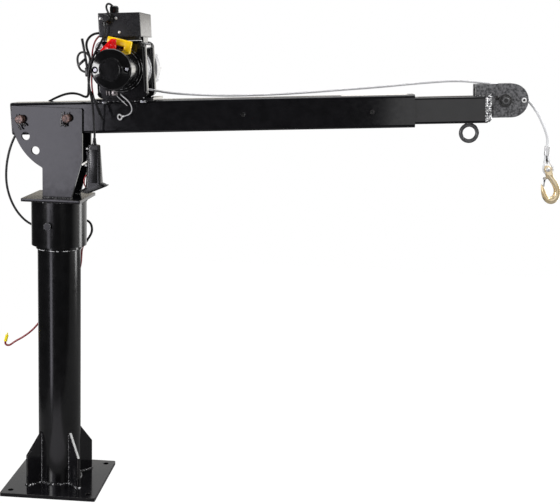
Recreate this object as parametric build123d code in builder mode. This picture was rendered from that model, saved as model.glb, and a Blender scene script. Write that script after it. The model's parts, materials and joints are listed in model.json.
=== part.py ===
from build123d import *
import os
from math import cos, pi, radians, sin, sqrt, tan

# Pickup truck crane: a bolted base and column, a swivelling turret, a luffing boom that carries an
# electric winch, and a sliding inner boom with a sheave head, wire rope and hook. Millimetres.
# X runs along the boom, Y away from the viewer, Z up. The origin is the column's axis at the
# underside of the base plate.

# Clearances
RUNNING = 0.05
SLIDING = 0.4
SEAT = 0.3

# Base and column
BASE_SIDE = 250.0
BASE_T = 10.0
BASE_CORNER_R = 4.0
BASE_HOLE_R = 7.0
BASE_HOLE_SPACING = 205.0
COLUMN_R = 55.0
COLUMN_WALL = 5.0
GUSSET_T = 8.0
GUSSET_REACH = 98.0
GUSSET_H = 152.0
GUSSET_TOE_H = 82.0
CAP_T = 10.0
CAP_SPIGOT = 8.0
THRUST_T = 4.0
THRUST_R = 48.0
THRUST_BORE_R = 20.0

# Turret
TURRET_TOP = 778.0
TURRET_T = 8.0
TURRET_LENGTH = 150.0
TURRET_WIDTH = 165.0
TURRET_CORNER_R = 3.0
COLLAR_R = 70.0
COLLAR_WALL = 10.0
COLLAR_H = 119.0
BUSH_H = 25.0
COLLAR_BOLT_ANGLE = -97.0
COLLAR_BOLT_DROP = 62.0
COLLAR_BOLT_R = 6.0
COLLAR_BOLT_FLATS = 18.0
COLLAR_BOLT_HEAD = 8.0
BRACKET_T = 8.0
BRACKET_GAP = 1.0
BRACKET_ARC_R = 142.0
BRACKET_FAR_ARC_R = 133.0
BRACKET_RISE = 25.0
BRACKET_FRONT = 36.0
BRACKET_KNEE_DROP = 104.0
BRACKET_FOOT_FRONT = 44.0
BRACKET_FOOT_REAR = -29.0
BRACKET_CORNER_R = 5.0

# Pins
PIVOT_X = 36.0
PIVOT_Z = 979.0
PIN_R = 10.0
PIN_PROUD = 20.0
PIN_HEAD_R = 15.0
PIN_HEAD_T = 8.0
PIN_CHAMFER = 1.5
LOCK_RADIUS = 117.5
LOCK_STEP = 21.0
LOCK_POSITIONS = 3
CLIP_WIRE_R = 2.0
CLIP_INSET = 9.0
CLIP_ARM = 21.0
CLIP_TAIL = 15.0
CLIP_TURN = {"pivot": 172.0, "lock": -143.0}

# Boom
BOOM_TILT = 3.5
BOOM_SIDE = 80.0
BOOM_WALL = 7.0
BOOM_CORNER_R = 8.0
BOOM_REAR = 143.0
BOOM_FRONT = 857.0
SLEEVE_WALL = 4.0
PLUG_T = 4.0
PLUG_DEPTH = 10.0
SET_SCREW_R = 6.0
SET_SCREW_SINK = 2.0
SET_SCREW_SOCKET = 6.0
SET_SCREW_STATIONS = (436.0, 753.0)

# Inner boom and sheave head
INNER_WALL = 5.0
INNER_CORNER_R = 6.0
INNER_REAR = 330.0
INNER_FRONT = 1034.0
CHEEK_T = 9.0
CHEEK_GAP = 32.0
CHEEK_NOSE_R = 41.0
HEAD_S = 1091.5
HEAD_N = 20.5
CHEEK_TAIL = 30.0
SHEAVE_S = 1076.0
SHEAVE_R = 34.0
SHEAVE_GROOVE_R = 27.0
SHEAVE_HUB_R = 16.0
SHEAVE_SIDE_GAP = 0.6
SHEAVE_LIP = 2.0
AXLE_R = 8.0
AXLE_FLATS = 20.0
AXLE_HEAD = 9.0
AXLE_WASHER_R = 16.0
AXLE_WASHER_T = 2.5
KEEPER_R = 4.5
KEEPER_INSET = 11.0
KEEPER_PROUD = 1.5
EYE_S = 992.5
EYE_RING_R = 20.0
EYE_WIRE_R = 5.0
EYE_COLLAR_R = 11.0
EYE_COLLAR_T = 2.0
EYE_SINK = 1.5
EYE_SHANK_R = 6.0
EYE_NUT_H = 10.0
EYE_NUT_FLATS = 19.0

# Winch
WINCH_S = 143.0
WINCH_N = 117.0
DECK_T = 6.0
DECK_LENGTH = 154.0
DECK_EDGE = 8.0
DECK_CORNER_R = 6.0
SUPPORT_T = 28.0
SUPPORT_WIDTH = 124.0
SUPPORT_TOP_N = 184.0
SUPPORT_CORNER_R = 16.0
FOOT_BOLT_S = 48.0
FOOT_BOLT_R = 4.0
FOOT_BOLT_FLATS = 13.0
FOOT_BOLT_HEAD = 5.5
FOOT_BOLT_GRIP = 24.0
TIE_BAR_R = 8.0
TIE_BAR_S = 50.0
TIE_BAR_N = 172.0
DRUM_CORE_R = 46.6
DRUM_FLANGE_R = 57.0
DRUM_FLANGE_T = 3.6
DRUM_SIDE_GAP = 0.4
DRUM_ROPE_GAP = 0.65
DRUM_SHAFT_R = 15.0
MOTOR_R = 48.0
MOTOR_LENGTH = 90.0
MOTOR_FLANGE_R = 55.0
MOTOR_FLANGE_T = 7.0
CAP_DEPTH = 28.0
CAP_BOSS_R = 26.0
CAP_BOSS_H = 5.0
CAP_ROUND = 5.0
CAP_RISE = 4.0
CAP_RIM = 3.5
CAP_STEP = 2.0
MOTOR_SCREW_R = 4.6
MOTOR_SCREW_RADIUS = 37.5
MOTOR_SCREW_LENGTH = 18.0
MOTOR_SCREW_HEAD = 5.0
MOTOR_RECESS_R = 8.0
GEARBOX_R = 66.0
GEARBOX_LENGTH = 80.0
GEARBOX_FLANGE_T = 12.0
GEARBOX_RIBS = 12
GEARBOX_RIB = 3.0
GEARBOX_NOSE = 4.0
CLUTCH_SHAFT_R = 7.0
CLUTCH_SHAFT_DEPTH = 16.0
CLUTCH_R = 24.0
CLUTCH_H = 16.0
CLUTCH_GRIP_W = 12.0
CLUTCH_GRIP_H = 12.0

# Control box
BOX_S = 148.5
BOX_LENGTH = 102.0
BOX_FRONT_Y = -85.0
BOX_DEPTH = 145.0
BOX_FLOOR_N = 193.0
BOX_HEIGHT = 57.0
BOX_WALL = 2.0
BOX_CORNER_R = 3.0
BOX_LEG_LENGTH = 60.0
BOX_LEG_T = 4.0
BOX_LEG_LAP = 1.5
CONTACTOR_SIZE = (62.0, 90.0, 40.0)
BOX_SCREW_R = 3.2
BOX_SCREW_H = 2.4
BOX_SCREWS = ((6.0, 13.0), (44.0, 13.0), (50.0, 46.0))
SOCKET_LEFT = 24.0
SOCKET_DROP = 14.0
SOCKET_R = 12.0
SOCKET_T = 5.0
PLUG_R = 9.5
PLUG_LENGTH = 22.0
DUST_CAP_R = 8.2
DUST_CAP_H = 12.0
STRAP_R = 1.8
BOOT_T = 18.0
BOOT_TUBE_R = 8.5
BOOT_GAP = 4.0
RED_BOOT = ((-37.0, 41.0), (-21.0, 72.0), (-9.0, 72.0), (3.0, 41.0))
YELLOW_BOOT = ((-9.0, 66.0), (34.0, 64.0), (31.0, 33.0))
YELLOW_BEND_R = 14.0

# Pendant
PENDANT_X = 111.0
PENDANT_Y = -82.0
PENDANT_TOP = 919.0
PENDANT_H = 120.0
PENDANT_TOP_W = 27.0
PENDANT_FOOT_W = 40.0
PENDANT_DEPTH = 26.0
PENDANT_FLARE_W = 66.0
PENDANT_FLARE_H = 14.0
ROCKER_DROP = 30.0
ROCKER_W = 12.0
ROCKER_H = 26.0
ROCKER_PROUD = 4.0
ROCKER_PIN_R = 1.5
ROCKER_ROOM = 1.2
ROCKER_PIN_SKIN = 3.0
ROCKER_BACK = 1.0

# Wire rope
ROPE_R = 3.0
ROPE_LAYER_R = 50.0
ROPE_PITCH = 6.6
ROPE_LOOPS = 9.5
EYE_ROPE_R = 2.75
FERRULE_R = 7.0
FERRULE_H = 24.0
FERRULE_OFFSET = 5.0
FERRULE_RISE = 34.0
FERRULE_RUN = 15.0

# Hook
HOOK_X = 1230.0
HOOK_Z = 900.0
HOOK_T = 17.0
HOOK_PIN_R = 4.5
HOOK_EYE_R = 9.0
HOOK_SLOT = 7.4
HOOK_SLOT_R = 18.5
HOOK_EDGE_R = 2.5
HOOK_SHOULDER = (21.0, -30.0)
HOOK_BACK = (28.9, -58.0)
HOOK_BOTTOM = (6.4, -86.5)
HOOK_BEAK_FOOT = (-16.1, -62.0)
HOOK_BEAK = (-16.8, -37.0)
HOOK_BEAK_INNER = (-11.5, -43.0)
HOOK_BOWL_NEAR = (-2.3, -59.0)
HOOK_BOWL = (7.0, -68.7)
HOOK_BOWL_FAR = (16.0, -57.0)
HOOK_THROAT = (10.0, -35.0)
HOOK_NECK = (0.0, -22.0)
LATCH_PIN = (-5.0, -23.5)
LATCH_PIN_R = 1.6
LATCH_LUG_R = 3.6
LATCH_LUG_T = 6.0
LATCH_LUG_TOP = 9.0
LATCH_LUG_ROOT = (12.0, -5.0)
LATCH_LUG_CUT = 60.0
LATCH_T = 1.5
LATCH_TIP = (-10.9, -42.0)

# Cables
CABLE_R = 2.5
LEAD_R = 2.2
GROUND_WIRE_R = 1.8
SPLICE_R = 3.6
SPLICE_LENGTH = 16.0
CRIMP_R = 4.0
CRIMP_LENGTH = 18.0
BARE_TIP_R = 1.5
BARE_TIP_LENGTH = 7.0
TIE_SIZE = (12.0, 12.0, 22.0)
TIE_PLACE = (70.0, 112.0, -102.5)
TIE_CORNER_R = 3.0
RING_R = 8.0
RING_BORE_R = 4.2
RING_T = 1.6
RING_NECK = 4.0
RING_BARREL = 6.0

BOOM_DIR = Vector(cos(radians(BOOM_TILT)), 0, sin(radians(BOOM_TILT)))
BOOM_UP = Vector(-sin(radians(BOOM_TILT)), 0, cos(radians(BOOM_TILT)))
BOOM_HALF = BOOM_SIDE / 2
INNER_SIDE = BOOM_SIDE - 2 * BOOM_WALL - 2 * SLIDING
INNER_HALF = INNER_SIDE / 2
TURRET_UNDERSIDE = TURRET_TOP - TURRET_T
COLUMN_TOP = TURRET_UNDERSIDE - THRUST_T - CAP_T
DECK_N = BOOM_HALF + DECK_T
WOUND_LENGTH = ROPE_PITCH * ROPE_LOOPS
ROPE_EXIT_Y = WOUND_LENGTH / 2
DRUM_HALF = WOUND_LENGTH / 2 + ROPE_R + DRUM_ROPE_GAP
SUPPORT_INNER = DRUM_HALF + DRUM_FLANGE_T + DRUM_SIDE_GAP
SUPPORT_OUTER = SUPPORT_INNER + SUPPORT_T
DECK_WIDTH = 2 * (SUPPORT_OUTER + DECK_EDGE)
BRACKET_INNER = BOOM_HALF + BRACKET_GAP
BRACKET_OUTER = BRACKET_INNER + BRACKET_T
SLEEVE_R = PIN_R + SEAT + SLEEVE_WALL
CHEEK_OUTER = CHEEK_GAP / 2 + CHEEK_T


def boom_point(s, n, y=0.0):
    """Return the point at s along the boom from its pivot, n above its axis and y across it."""
    return Vector(PIVOT_X, y, PIVOT_Z) + BOOM_DIR * s + BOOM_UP * n


def boom_side(y):
    """Return the plane of the boom's side view at y, with its normal towards the viewer."""
    return Plane(origin=boom_point(0, 0, y), x_dir=BOOM_DIR, z_dir=(0, -1, 0))


def boom_section(s):
    """Return the plane square to the boom at s, with X across the boom and Y up."""
    return Plane(origin=boom_point(s, 0), x_dir=(0, 1, 0), z_dir=BOOM_DIR)


def boom_deck(n):
    """Return the plane parallel to the boom's top at n, with X along the boom and Y across it."""
    return Plane(origin=boom_point(0, n), x_dir=BOOM_DIR, z_dir=BOOM_UP)


def world_side(y):
    """Return the upright plane at y, with its normal towards the viewer."""
    return Plane.XZ.offset(-y)


def boom_route(points):
    """Turn route points given as (s, n, y) into points of the crane's frame."""
    return [boom_point(*point) for point in points]


def save(builder, name):
    """Label a finished piece and write it as one STEP file."""
    builder.part.label = name
    export_step(builder.part, f"parts/{name}.step")


def bend_radii(points):
    """Return the bend radius at each inner point of a route, as large as its runs allow."""
    radii = []
    for before, corner, after in zip(points, points[1:], points[2:]):
        run_in = corner - before
        run_out = after - corner
        half_turn = radians(run_in.get_angle(run_out)) / 2
        radii.append(0.45 * min(run_in.length, run_out.length) / tan(half_turn))
    return radii


def make_cord(name, points, radius):
    """Sweep a round cord along straight runs joined by tangent arcs, and write it."""
    radii = bend_radii(points)
    with BuildPart() as cord:
        with BuildLine() as path:
            FilletPolyline(*points, radius=radii)
        line = path.wires()[0]
        with BuildSketch(Plane(origin=line @ 0, z_dir=line % 0)):
            Circle(radius)
        sweep(path=line)
    share = cord.part.volume / (pi * radius**2 * line.length)
    print(f"{name}: length {line.length:.0f}, least radius {min(radii):.1f}, volume share {share:.4f}")
    save(cord, name)


def hex_bolt_head(flats):
    """Draw a hexagon of the given width across flats in the current sketch."""
    RegularPolygon(radius=flats / 2, side_count=6, major_radius=False)


os.makedirs("parts", exist_ok=True)

# Base plate, column and gussets
with BuildPart() as base_plate:
    with BuildSketch(Plane.XY):
        RectangleRounded(BASE_SIDE, BASE_SIDE, BASE_CORNER_R)
        with GridLocations(BASE_HOLE_SPACING, BASE_HOLE_SPACING, 2, 2):
            Circle(BASE_HOLE_R, mode=Mode.SUBTRACT)
    extrude(amount=BASE_T)
save(base_plate, "base_plate")

with BuildPart() as column_tube:
    with BuildSketch(Plane.XY.offset(BASE_T)):
        Circle(COLUMN_R)
        Circle(COLUMN_R - COLUMN_WALL, mode=Mode.SUBTRACT)
    extrude(amount=COLUMN_TOP - BASE_T)
save(column_tube, "column_tube")

with BuildPart() as column_cap:
    with BuildSketch(Plane.XY.offset(COLUMN_TOP)):
        Circle(COLUMN_R)
    extrude(amount=CAP_T)
    with BuildSketch(Plane.XY.offset(COLUMN_TOP)):
        Circle(COLUMN_R - COLUMN_WALL - RUNNING)
    extrude(amount=-CAP_SPIGOT)
save(column_cap, "column_cap")

gusset_planes = [Plane(origin=(0, 0, BASE_T), x_dir=(cos(a), sin(a), 0), z_dir=(sin(a), -cos(a), 0))
                 for a in (radians(45 + 90 * k) for k in range(4))]
with BuildPart() as column_gussets:
    with BuildSketch(*gusset_planes):
        with BuildLine():
            Polyline((COLUMN_R - GUSSET_T, 0), (GUSSET_REACH, 0), (GUSSET_REACH, GUSSET_TOE_H),
                     (COLUMN_R - GUSSET_T, GUSSET_H), close=True)
        make_face()
    extrude(amount=GUSSET_T / 2, both=True)
    with BuildSketch(Plane.XY.offset(BASE_T)):
        Circle(COLUMN_R)
    extrude(amount=GUSSET_H, mode=Mode.SUBTRACT)
save(column_gussets, "column_gussets")

with BuildPart() as thrust_washer:
    with BuildSketch(Plane.XY.offset(COLUMN_TOP + CAP_T)):
        Circle(THRUST_R)
        Circle(THRUST_BORE_R, mode=Mode.SUBTRACT)
    extrude(amount=THRUST_T)
save(thrust_washer, "thrust_washer")

# Turret: a collar that turns on the column, a plate and two bracket plates
bolt_angle = radians(COLLAR_BOLT_ANGLE)
bolt_z = TURRET_UNDERSIDE - COLLAR_BOLT_DROP


def collar_bolt_plane(radius):
    """Return the plane square to the collar bolt at a radius from the column's axis."""
    outward = Vector(cos(bolt_angle), sin(bolt_angle), 0)
    return Plane(origin=outward * radius + Vector(0, 0, bolt_z), x_dir=(0, 0, 1), z_dir=outward)


with BuildPart() as collar:
    with BuildSketch(Plane.XY.offset(TURRET_UNDERSIDE)):
        Circle(COLLAR_R)
        Circle(COLLAR_R - COLLAR_WALL, mode=Mode.SUBTRACT)
    extrude(amount=-COLLAR_H)
    with BuildSketch(collar_bolt_plane(COLUMN_R)):
        Circle(COLLAR_BOLT_R)
    extrude(amount=COLLAR_R, mode=Mode.SUBTRACT)
save(collar, "collar")

with BuildPart() as collar_bushes:
    for bush_z in (TURRET_UNDERSIDE - COLLAR_H, TURRET_UNDERSIDE - BUSH_H):
        with BuildSketch(Plane.XY.offset(bush_z)):
            Circle(COLLAR_R - COLLAR_WALL)
            Circle(COLUMN_R + RUNNING, mode=Mode.SUBTRACT)
        extrude(amount=BUSH_H)
save(collar_bushes, "collar_bushes")

with BuildPart() as collar_bolt:
    with BuildSketch(collar_bolt_plane(COLUMN_R + SEAT)):
        Circle(COLLAR_BOLT_R - RUNNING)
    extrude(amount=COLLAR_R - COLUMN_R - SEAT)
    with BuildSketch(collar_bolt_plane(COLLAR_R)):
        hex_bolt_head(COLLAR_BOLT_FLATS)
    extrude(amount=COLLAR_BOLT_HEAD)
save(collar_bolt, "collar_bolt")

with BuildPart() as turret_plate:
    with BuildSketch(Plane.XY.offset(TURRET_UNDERSIDE)):
        RectangleRounded(TURRET_LENGTH, TURRET_WIDTH, TURRET_CORNER_R)
    extrude(amount=TURRET_T)
save(turret_plate, "turret_plate")

lock_angles = [radians(180 + BOOM_TILT + LOCK_STEP * k) for k in range(LOCK_POSITIONS)]
lock_holes = [(PIVOT_X + LOCK_RADIUS * cos(a), PIVOT_Z + LOCK_RADIUS * sin(a)) for a in lock_angles]
bracket_top = PIVOT_Z + BRACKET_RISE
foot_reach = PIVOT_X - BRACKET_FOOT_REAR
with BuildPart() as bracket_plates:
    for plate_y, arc_r in ((-BRACKET_INNER, BRACKET_ARC_R), (BRACKET_OUTER, BRACKET_FAR_ARC_R)):
        with BuildSketch(world_side(plate_y)):
            with BuildLine():
                front = PIVOT_X + BRACKET_FRONT
                arc_top = (PIVOT_X - sqrt(arc_r**2 - BRACKET_RISE**2), bracket_top)
                arc_foot = (BRACKET_FOOT_REAR, PIVOT_Z - sqrt(arc_r**2 - foot_reach**2))
                Polyline(arc_top, (front, bracket_top), (front, PIVOT_Z - BRACKET_KNEE_DROP),
                         (BRACKET_FOOT_FRONT, TURRET_TOP), (BRACKET_FOOT_REAR, TURRET_TOP), arc_foot)
                RadiusArc(arc_foot, arc_top, arc_r)
            make_face()
            fillet(vertices().group_by(Axis.Z)[-1], BRACKET_CORNER_R)
            with Locations((PIVOT_X, PIVOT_Z), *lock_holes):
                Circle(PIN_R + SEAT, mode=Mode.SUBTRACT)
        extrude(amount=BRACKET_T)
save(bracket_plates, "bracket_plates")


def pin_stretch(x, z, radius, y_near, y_far):
    """Add a round stretch of a cross pin between two places along Y."""
    with BuildSketch(world_side(y_far)) as outline:
        with Locations((x, z)):
            Circle(radius)
    extrude(outline.sketch, amount=y_far - y_near)


def clip_plane(x, z, turn):
    """Return the upright plane of a pin's hairpin clip, turned about the pin."""
    return Plane(origin=(x, pin_near + CLIP_INSET, z), x_dir=(cos(turn), 0, sin(turn)), z_dir=(0, -1, 0))


def clip_hole(x, z, turn):
    """Cut the cross hole that takes the clip's straight leg."""
    along = Vector(-sin(turn), 0, cos(turn))
    with BuildSketch(Plane(origin=Vector(x, pin_near + CLIP_INSET, z), z_dir=along)) as outline:
        Circle(CLIP_WIRE_R + SEAT)
    extrude(outline.sketch, amount=2 * PIN_R, both=True, mode=Mode.SUBTRACT)


pin_near = -(BRACKET_OUTER + PIN_PROUD)
pin_far = BRACKET_OUTER + SEAT
lock_x, lock_z = lock_holes[0]
clip_turns = {name: radians(turn) for name, turn in CLIP_TURN.items()}

with BuildPart() as pivot_pin:
    pin_stretch(PIVOT_X, PIVOT_Z, PIN_R, pin_near, pin_far)
    pin_stretch(PIVOT_X, PIVOT_Z, PIN_HEAD_R, pin_far, pin_far + PIN_HEAD_T)
    chamfer(edges().group_by(Axis.Y)[0], PIN_CHAMFER)
    clip_hole(PIVOT_X, PIVOT_Z, clip_turns["pivot"])
save(pivot_pin, "pivot_pin")

with BuildPart() as lock_pin:
    pin_stretch(lock_x, lock_z, PIN_R, pin_near, -(BOOM_HALF + BRACKET_GAP / 2))
    chamfer(edges().group_by(Axis.Y)[0], PIN_CHAMFER)
    pin_stretch(lock_x, lock_z, PIN_R, BOOM_HALF + BRACKET_GAP / 2, pin_far)
    pin_stretch(lock_x, lock_z, PIN_HEAD_R, pin_far, pin_far + PIN_HEAD_T)
    clip_hole(lock_x, lock_z, clip_turns["lock"])
save(lock_pin, "lock_pin")

clip_side = PIN_R + CLIP_WIRE_R + SEAT
with BuildPart() as pin_clips:
    for clip_x, clip_z, clip_turn in ((PIVOT_X, PIVOT_Z, clip_turns["pivot"]),
                                      (lock_x, lock_z, clip_turns["lock"])):
        clip_frame = clip_plane(clip_x, clip_z, clip_turn)
        with BuildLine(clip_frame) as clip_wire:
            Line((0, -CLIP_TAIL), (0, CLIP_ARM))
            TangentArc((0, CLIP_ARM), (clip_side, CLIP_ARM), tangent=(0, 1))
            arm = Line((clip_side, CLIP_ARM), (clip_side, -CLIP_ARM / 2))
            JernArc(start=arm @ 1, tangent=arm % 1, radius=2 * CLIP_WIRE_R, arc_size=50)
        wire = clip_wire.wires()[0]
        with BuildSketch(Plane(origin=wire @ 0, z_dir=wire % 0)):
            Circle(CLIP_WIRE_R)
        sweep(path=wire)
save(pin_clips, "pin_clips")

# Boom tube with its welded pin sleeves
with BuildPart() as boom_tube:
    with BuildSketch(boom_section(-BOOM_REAR)):
        RectangleRounded(BOOM_SIDE, BOOM_SIDE, BOOM_CORNER_R)
        bore_side = BOOM_SIDE - 2 * BOOM_WALL
        RectangleRounded(bore_side, bore_side, max(BOOM_CORNER_R - BOOM_WALL, 1.0), mode=Mode.SUBTRACT)
    extrude(amount=BOOM_REAR + BOOM_FRONT)
    with BuildSketch(boom_side(0)):
        with Locations((0, 0), (-LOCK_RADIUS, 0)):
            Circle(SLEEVE_R)
    extrude(amount=BOOM_SIDE, both=True, mode=Mode.SUBTRACT)
    with BuildSketch(boom_side(-INNER_HALF)):
        with Locations(*[(s, 0) for s in SET_SCREW_STATIONS]):
            Circle(SET_SCREW_R)
    extrude(amount=BOOM_WALL + SLIDING, mode=Mode.SUBTRACT)
save(boom_tube, "boom_tube")

with BuildPart() as boom_sleeves:
    for sleeve_s, sleeve_bore in ((0, PIN_R + RUNNING), (-LOCK_RADIUS, PIN_R + SEAT)):
        with BuildSketch(boom_side(BOOM_HALF)):
            with Locations((sleeve_s, 0)):
                Circle(SLEEVE_R)
                Circle(sleeve_bore, mode=Mode.SUBTRACT)
        extrude(amount=BOOM_SIDE)
save(boom_sleeves, "boom_sleeves")

with BuildPart() as boom_set_screws:
    with BuildSketch(boom_side(-(INNER_HALF + SEAT))):
        with Locations(*[(s, 0) for s in SET_SCREW_STATIONS]):
            Circle(SET_SCREW_R - RUNNING)
    extrude(amount=BOOM_HALF - SET_SCREW_SINK - INNER_HALF - SEAT)
    with BuildSketch(boom_side(-(BOOM_HALF - SET_SCREW_SINK))):
        with Locations(*[(s, 0) for s in SET_SCREW_STATIONS]):
            hex_bolt_head(SET_SCREW_SOCKET)
    extrude(amount=-BOOM_WALL / 2, mode=Mode.SUBTRACT)
save(boom_set_screws, "boom_set_screws")

with BuildPart() as boom_rear_plug:
    with BuildSketch(boom_section(-BOOM_REAR)):
        RectangleRounded(BOOM_SIDE, BOOM_SIDE, BOOM_CORNER_R)
    extrude(amount=-PLUG_T)
    chamfer(faces().sort_by(Axis(boom_point(0, 0), BOOM_DIR))[0].edges(), PLUG_T / 4)
    with BuildSketch(boom_section(-BOOM_REAR)):
        Rectangle(INNER_SIDE, INNER_SIDE)
        Rectangle(INNER_SIDE - 2 * PLUG_T, INNER_SIDE - 2 * PLUG_T, mode=Mode.SUBTRACT)
    extrude(amount=PLUG_DEPTH)
save(boom_rear_plug, "boom_rear_plug")

# Inner boom, sheave head and eye bolt
with BuildPart() as inner_tube:
    with BuildSketch(boom_section(INNER_REAR)):
        RectangleRounded(INNER_SIDE, INNER_SIDE, INNER_CORNER_R)
        inner_bore = INNER_SIDE - 2 * INNER_WALL
        RectangleRounded(inner_bore, inner_bore, max(INNER_CORNER_R - INNER_WALL, 1.0),
                         mode=Mode.SUBTRACT)
    extrude(amount=INNER_FRONT - INNER_REAR)
    with BuildSketch(boom_deck(0)):
        with Locations((EYE_S, 0)):
            Circle(EYE_SHANK_R + RUNNING)
    extrude(amount=-INNER_SIDE, mode=Mode.SUBTRACT)
save(inner_tube, "inner_tube")

head_top = HEAD_N + CHEEK_NOSE_R
head_bottom = HEAD_N - CHEEK_NOSE_R
with BuildPart() as head_cheeks:
    with BuildSketch(boom_side(-CHEEK_GAP / 2), boom_side(CHEEK_OUTER)):
        with BuildLine():
            Polyline((HEAD_S, head_bottom), (INNER_FRONT, head_bottom), (INNER_FRONT, INNER_HALF),
                     (INNER_FRONT - CHEEK_TAIL, INNER_HALF), (INNER_FRONT - CHEEK_TAIL, head_top),
                     (HEAD_S, head_top))
            ThreePointArc((HEAD_S, head_top), (HEAD_S + CHEEK_NOSE_R, HEAD_N), (HEAD_S, head_bottom))
        make_face()
        with Locations((SHEAVE_S, HEAD_N)):
            Circle(AXLE_R + RUNNING, mode=Mode.SUBTRACT)
        with Locations((HEAD_S + CHEEK_NOSE_R - KEEPER_INSET, HEAD_N)):
            Circle(KEEPER_R + RUNNING, mode=Mode.SUBTRACT)
    extrude(amount=CHEEK_T)
save(head_cheeks, "head_cheeks")


def boom_pin(s, n, radius, y_near, y_far):
    """Add a round stretch along Y at a place of the boom's side view."""
    with BuildSketch(boom_side(y_far)) as outline:
        with Locations((s, n)):
            Circle(radius)
    extrude(outline.sketch, amount=y_far - y_near)


def boom_hex(s, n, flats, y_near, y_far):
    """Add a hexagonal stretch along Y at a place of the boom's side view."""
    with BuildSketch(boom_side(y_far)) as outline:
        with Locations((s, n)):
            hex_bolt_head(flats)
    extrude(outline.sketch, amount=y_far - y_near)


washer_face = CHEEK_OUTER + AXLE_WASHER_T
with BuildPart() as sheave_axle:
    boom_pin(SHEAVE_S, HEAD_N, AXLE_R, -CHEEK_OUTER, CHEEK_OUTER)
    boom_pin(SHEAVE_S, HEAD_N, AXLE_WASHER_R, -washer_face, -CHEEK_OUTER)
    boom_pin(SHEAVE_S, HEAD_N, AXLE_WASHER_R, CHEEK_OUTER, washer_face)
    boom_hex(SHEAVE_S, HEAD_N, AXLE_FLATS, -washer_face - AXLE_HEAD, -washer_face)
    boom_hex(SHEAVE_S, HEAD_N, AXLE_FLATS, washer_face, washer_face + AXLE_HEAD)
save(sheave_axle, "sheave_axle")

with BuildPart() as keeper_pin:
    keeper_end = CHEEK_OUTER + KEEPER_PROUD
    boom_pin(HEAD_S + CHEEK_NOSE_R - KEEPER_INSET, HEAD_N, KEEPER_R, -keeper_end, keeper_end)
save(keeper_pin, "keeper_pin")

sheave_half = CHEEK_GAP / 2 - SHEAVE_SIDE_GAP
groove_mouth = ROPE_R * 2.1
sheave_plane = Plane(origin=boom_point(SHEAVE_S, HEAD_N), x_dir=(0, 1, 0), z_dir=BOOM_DIR)
with BuildPart() as sheave:
    with BuildSketch(sheave_plane):
        with BuildLine():
            rim = groove_mouth + SHEAVE_LIP
            seat_half = ROPE_R + SEAT
            Polyline((-seat_half, SHEAVE_GROOVE_R + seat_half), (-groove_mouth, SHEAVE_R), (-rim, SHEAVE_R),
                     (-rim, SHEAVE_HUB_R), (-sheave_half, SHEAVE_HUB_R), (-sheave_half, AXLE_R + RUNNING),
                     (sheave_half, AXLE_R + RUNNING), (sheave_half, SHEAVE_HUB_R), (rim, SHEAVE_HUB_R),
                     (rim, SHEAVE_R), (groove_mouth, SHEAVE_R), (seat_half, SHEAVE_GROOVE_R + seat_half))
            ThreePointArc((seat_half, SHEAVE_GROOVE_R + seat_half), (0, SHEAVE_GROOVE_R),
                          (-seat_half, SHEAVE_GROOVE_R + seat_half))
        make_face()
    revolve(axis=Axis(boom_point(SHEAVE_S, HEAD_N), (0, 1, 0)))
save(sheave, "sheave")

eye_top = -INNER_HALF - EYE_COLLAR_T
eye_n = eye_top - EYE_RING_R - EYE_WIRE_R + EYE_SINK
with BuildPart() as eye_bolt:
    with BuildSketch(boom_deck(eye_n)):
        with Locations((EYE_S + EYE_RING_R, 0)):
            Circle(EYE_WIRE_R)
    revolve(axis=Axis(boom_point(EYE_S, eye_n), (0, 1, 0)))
    with BuildSketch(boom_deck(-INNER_HALF)):
        with Locations((EYE_S, 0)):
            Circle(EYE_COLLAR_R)
    extrude(amount=-EYE_COLLAR_T)
    with BuildSketch(boom_deck(-INNER_HALF)):
        with Locations((EYE_S, 0)):
            Circle(EYE_SHANK_R)
    extrude(amount=INNER_WALL)
    with BuildSketch(boom_deck(-INNER_HALF + INNER_WALL)):
        with Locations((EYE_S, 0)):
            hex_bolt_head(EYE_NUT_FLATS)
    extrude(amount=EYE_NUT_H)
save(eye_bolt, "eye_bolt")

# Winch on its deck plate
foot_bolts = [(WINCH_S + side * FOOT_BOLT_S, across * (SUPPORT_INNER + SUPPORT_T / 2))
              for side in (-1, 1) for across in (-1, 1)]
with BuildPart() as winch_deck:
    with BuildSketch(boom_deck(BOOM_HALF)):
        with Locations((WINCH_S, 0)):
            RectangleRounded(DECK_LENGTH, DECK_WIDTH, DECK_CORNER_R)
        with Locations(*foot_bolts):
            Circle(FOOT_BOLT_R + RUNNING, mode=Mode.SUBTRACT)
    extrude(amount=DECK_T)
save(winch_deck, "winch_deck")


def make_support(name, y_far):
    """Make one end support of the winch between y_far less its thickness and y_far."""
    with BuildPart() as support:
        with BuildSketch(boom_side(y_far)):
            with Locations((WINCH_S, (DECK_N + SUPPORT_TOP_N) / 2)):
                Rectangle(SUPPORT_WIDTH, SUPPORT_TOP_N - DECK_N)
            fillet(vertices().group_by(Axis.Z)[-2:], SUPPORT_CORNER_R)
            with Locations((WINCH_S, WINCH_N)):
                Circle(DRUM_SHAFT_R + RUNNING, mode=Mode.SUBTRACT)
        extrude(amount=SUPPORT_T)
        with BuildSketch(boom_deck(DECK_N)):
            with Locations(*foot_bolts):
                Circle(FOOT_BOLT_R + RUNNING)
        extrude(amount=FOOT_BOLT_GRIP - DECK_T, mode=Mode.SUBTRACT)
    save(support, name)


make_support("winch_support_motor", -SUPPORT_INNER)
make_support("winch_support_gear", SUPPORT_OUTER)

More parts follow.
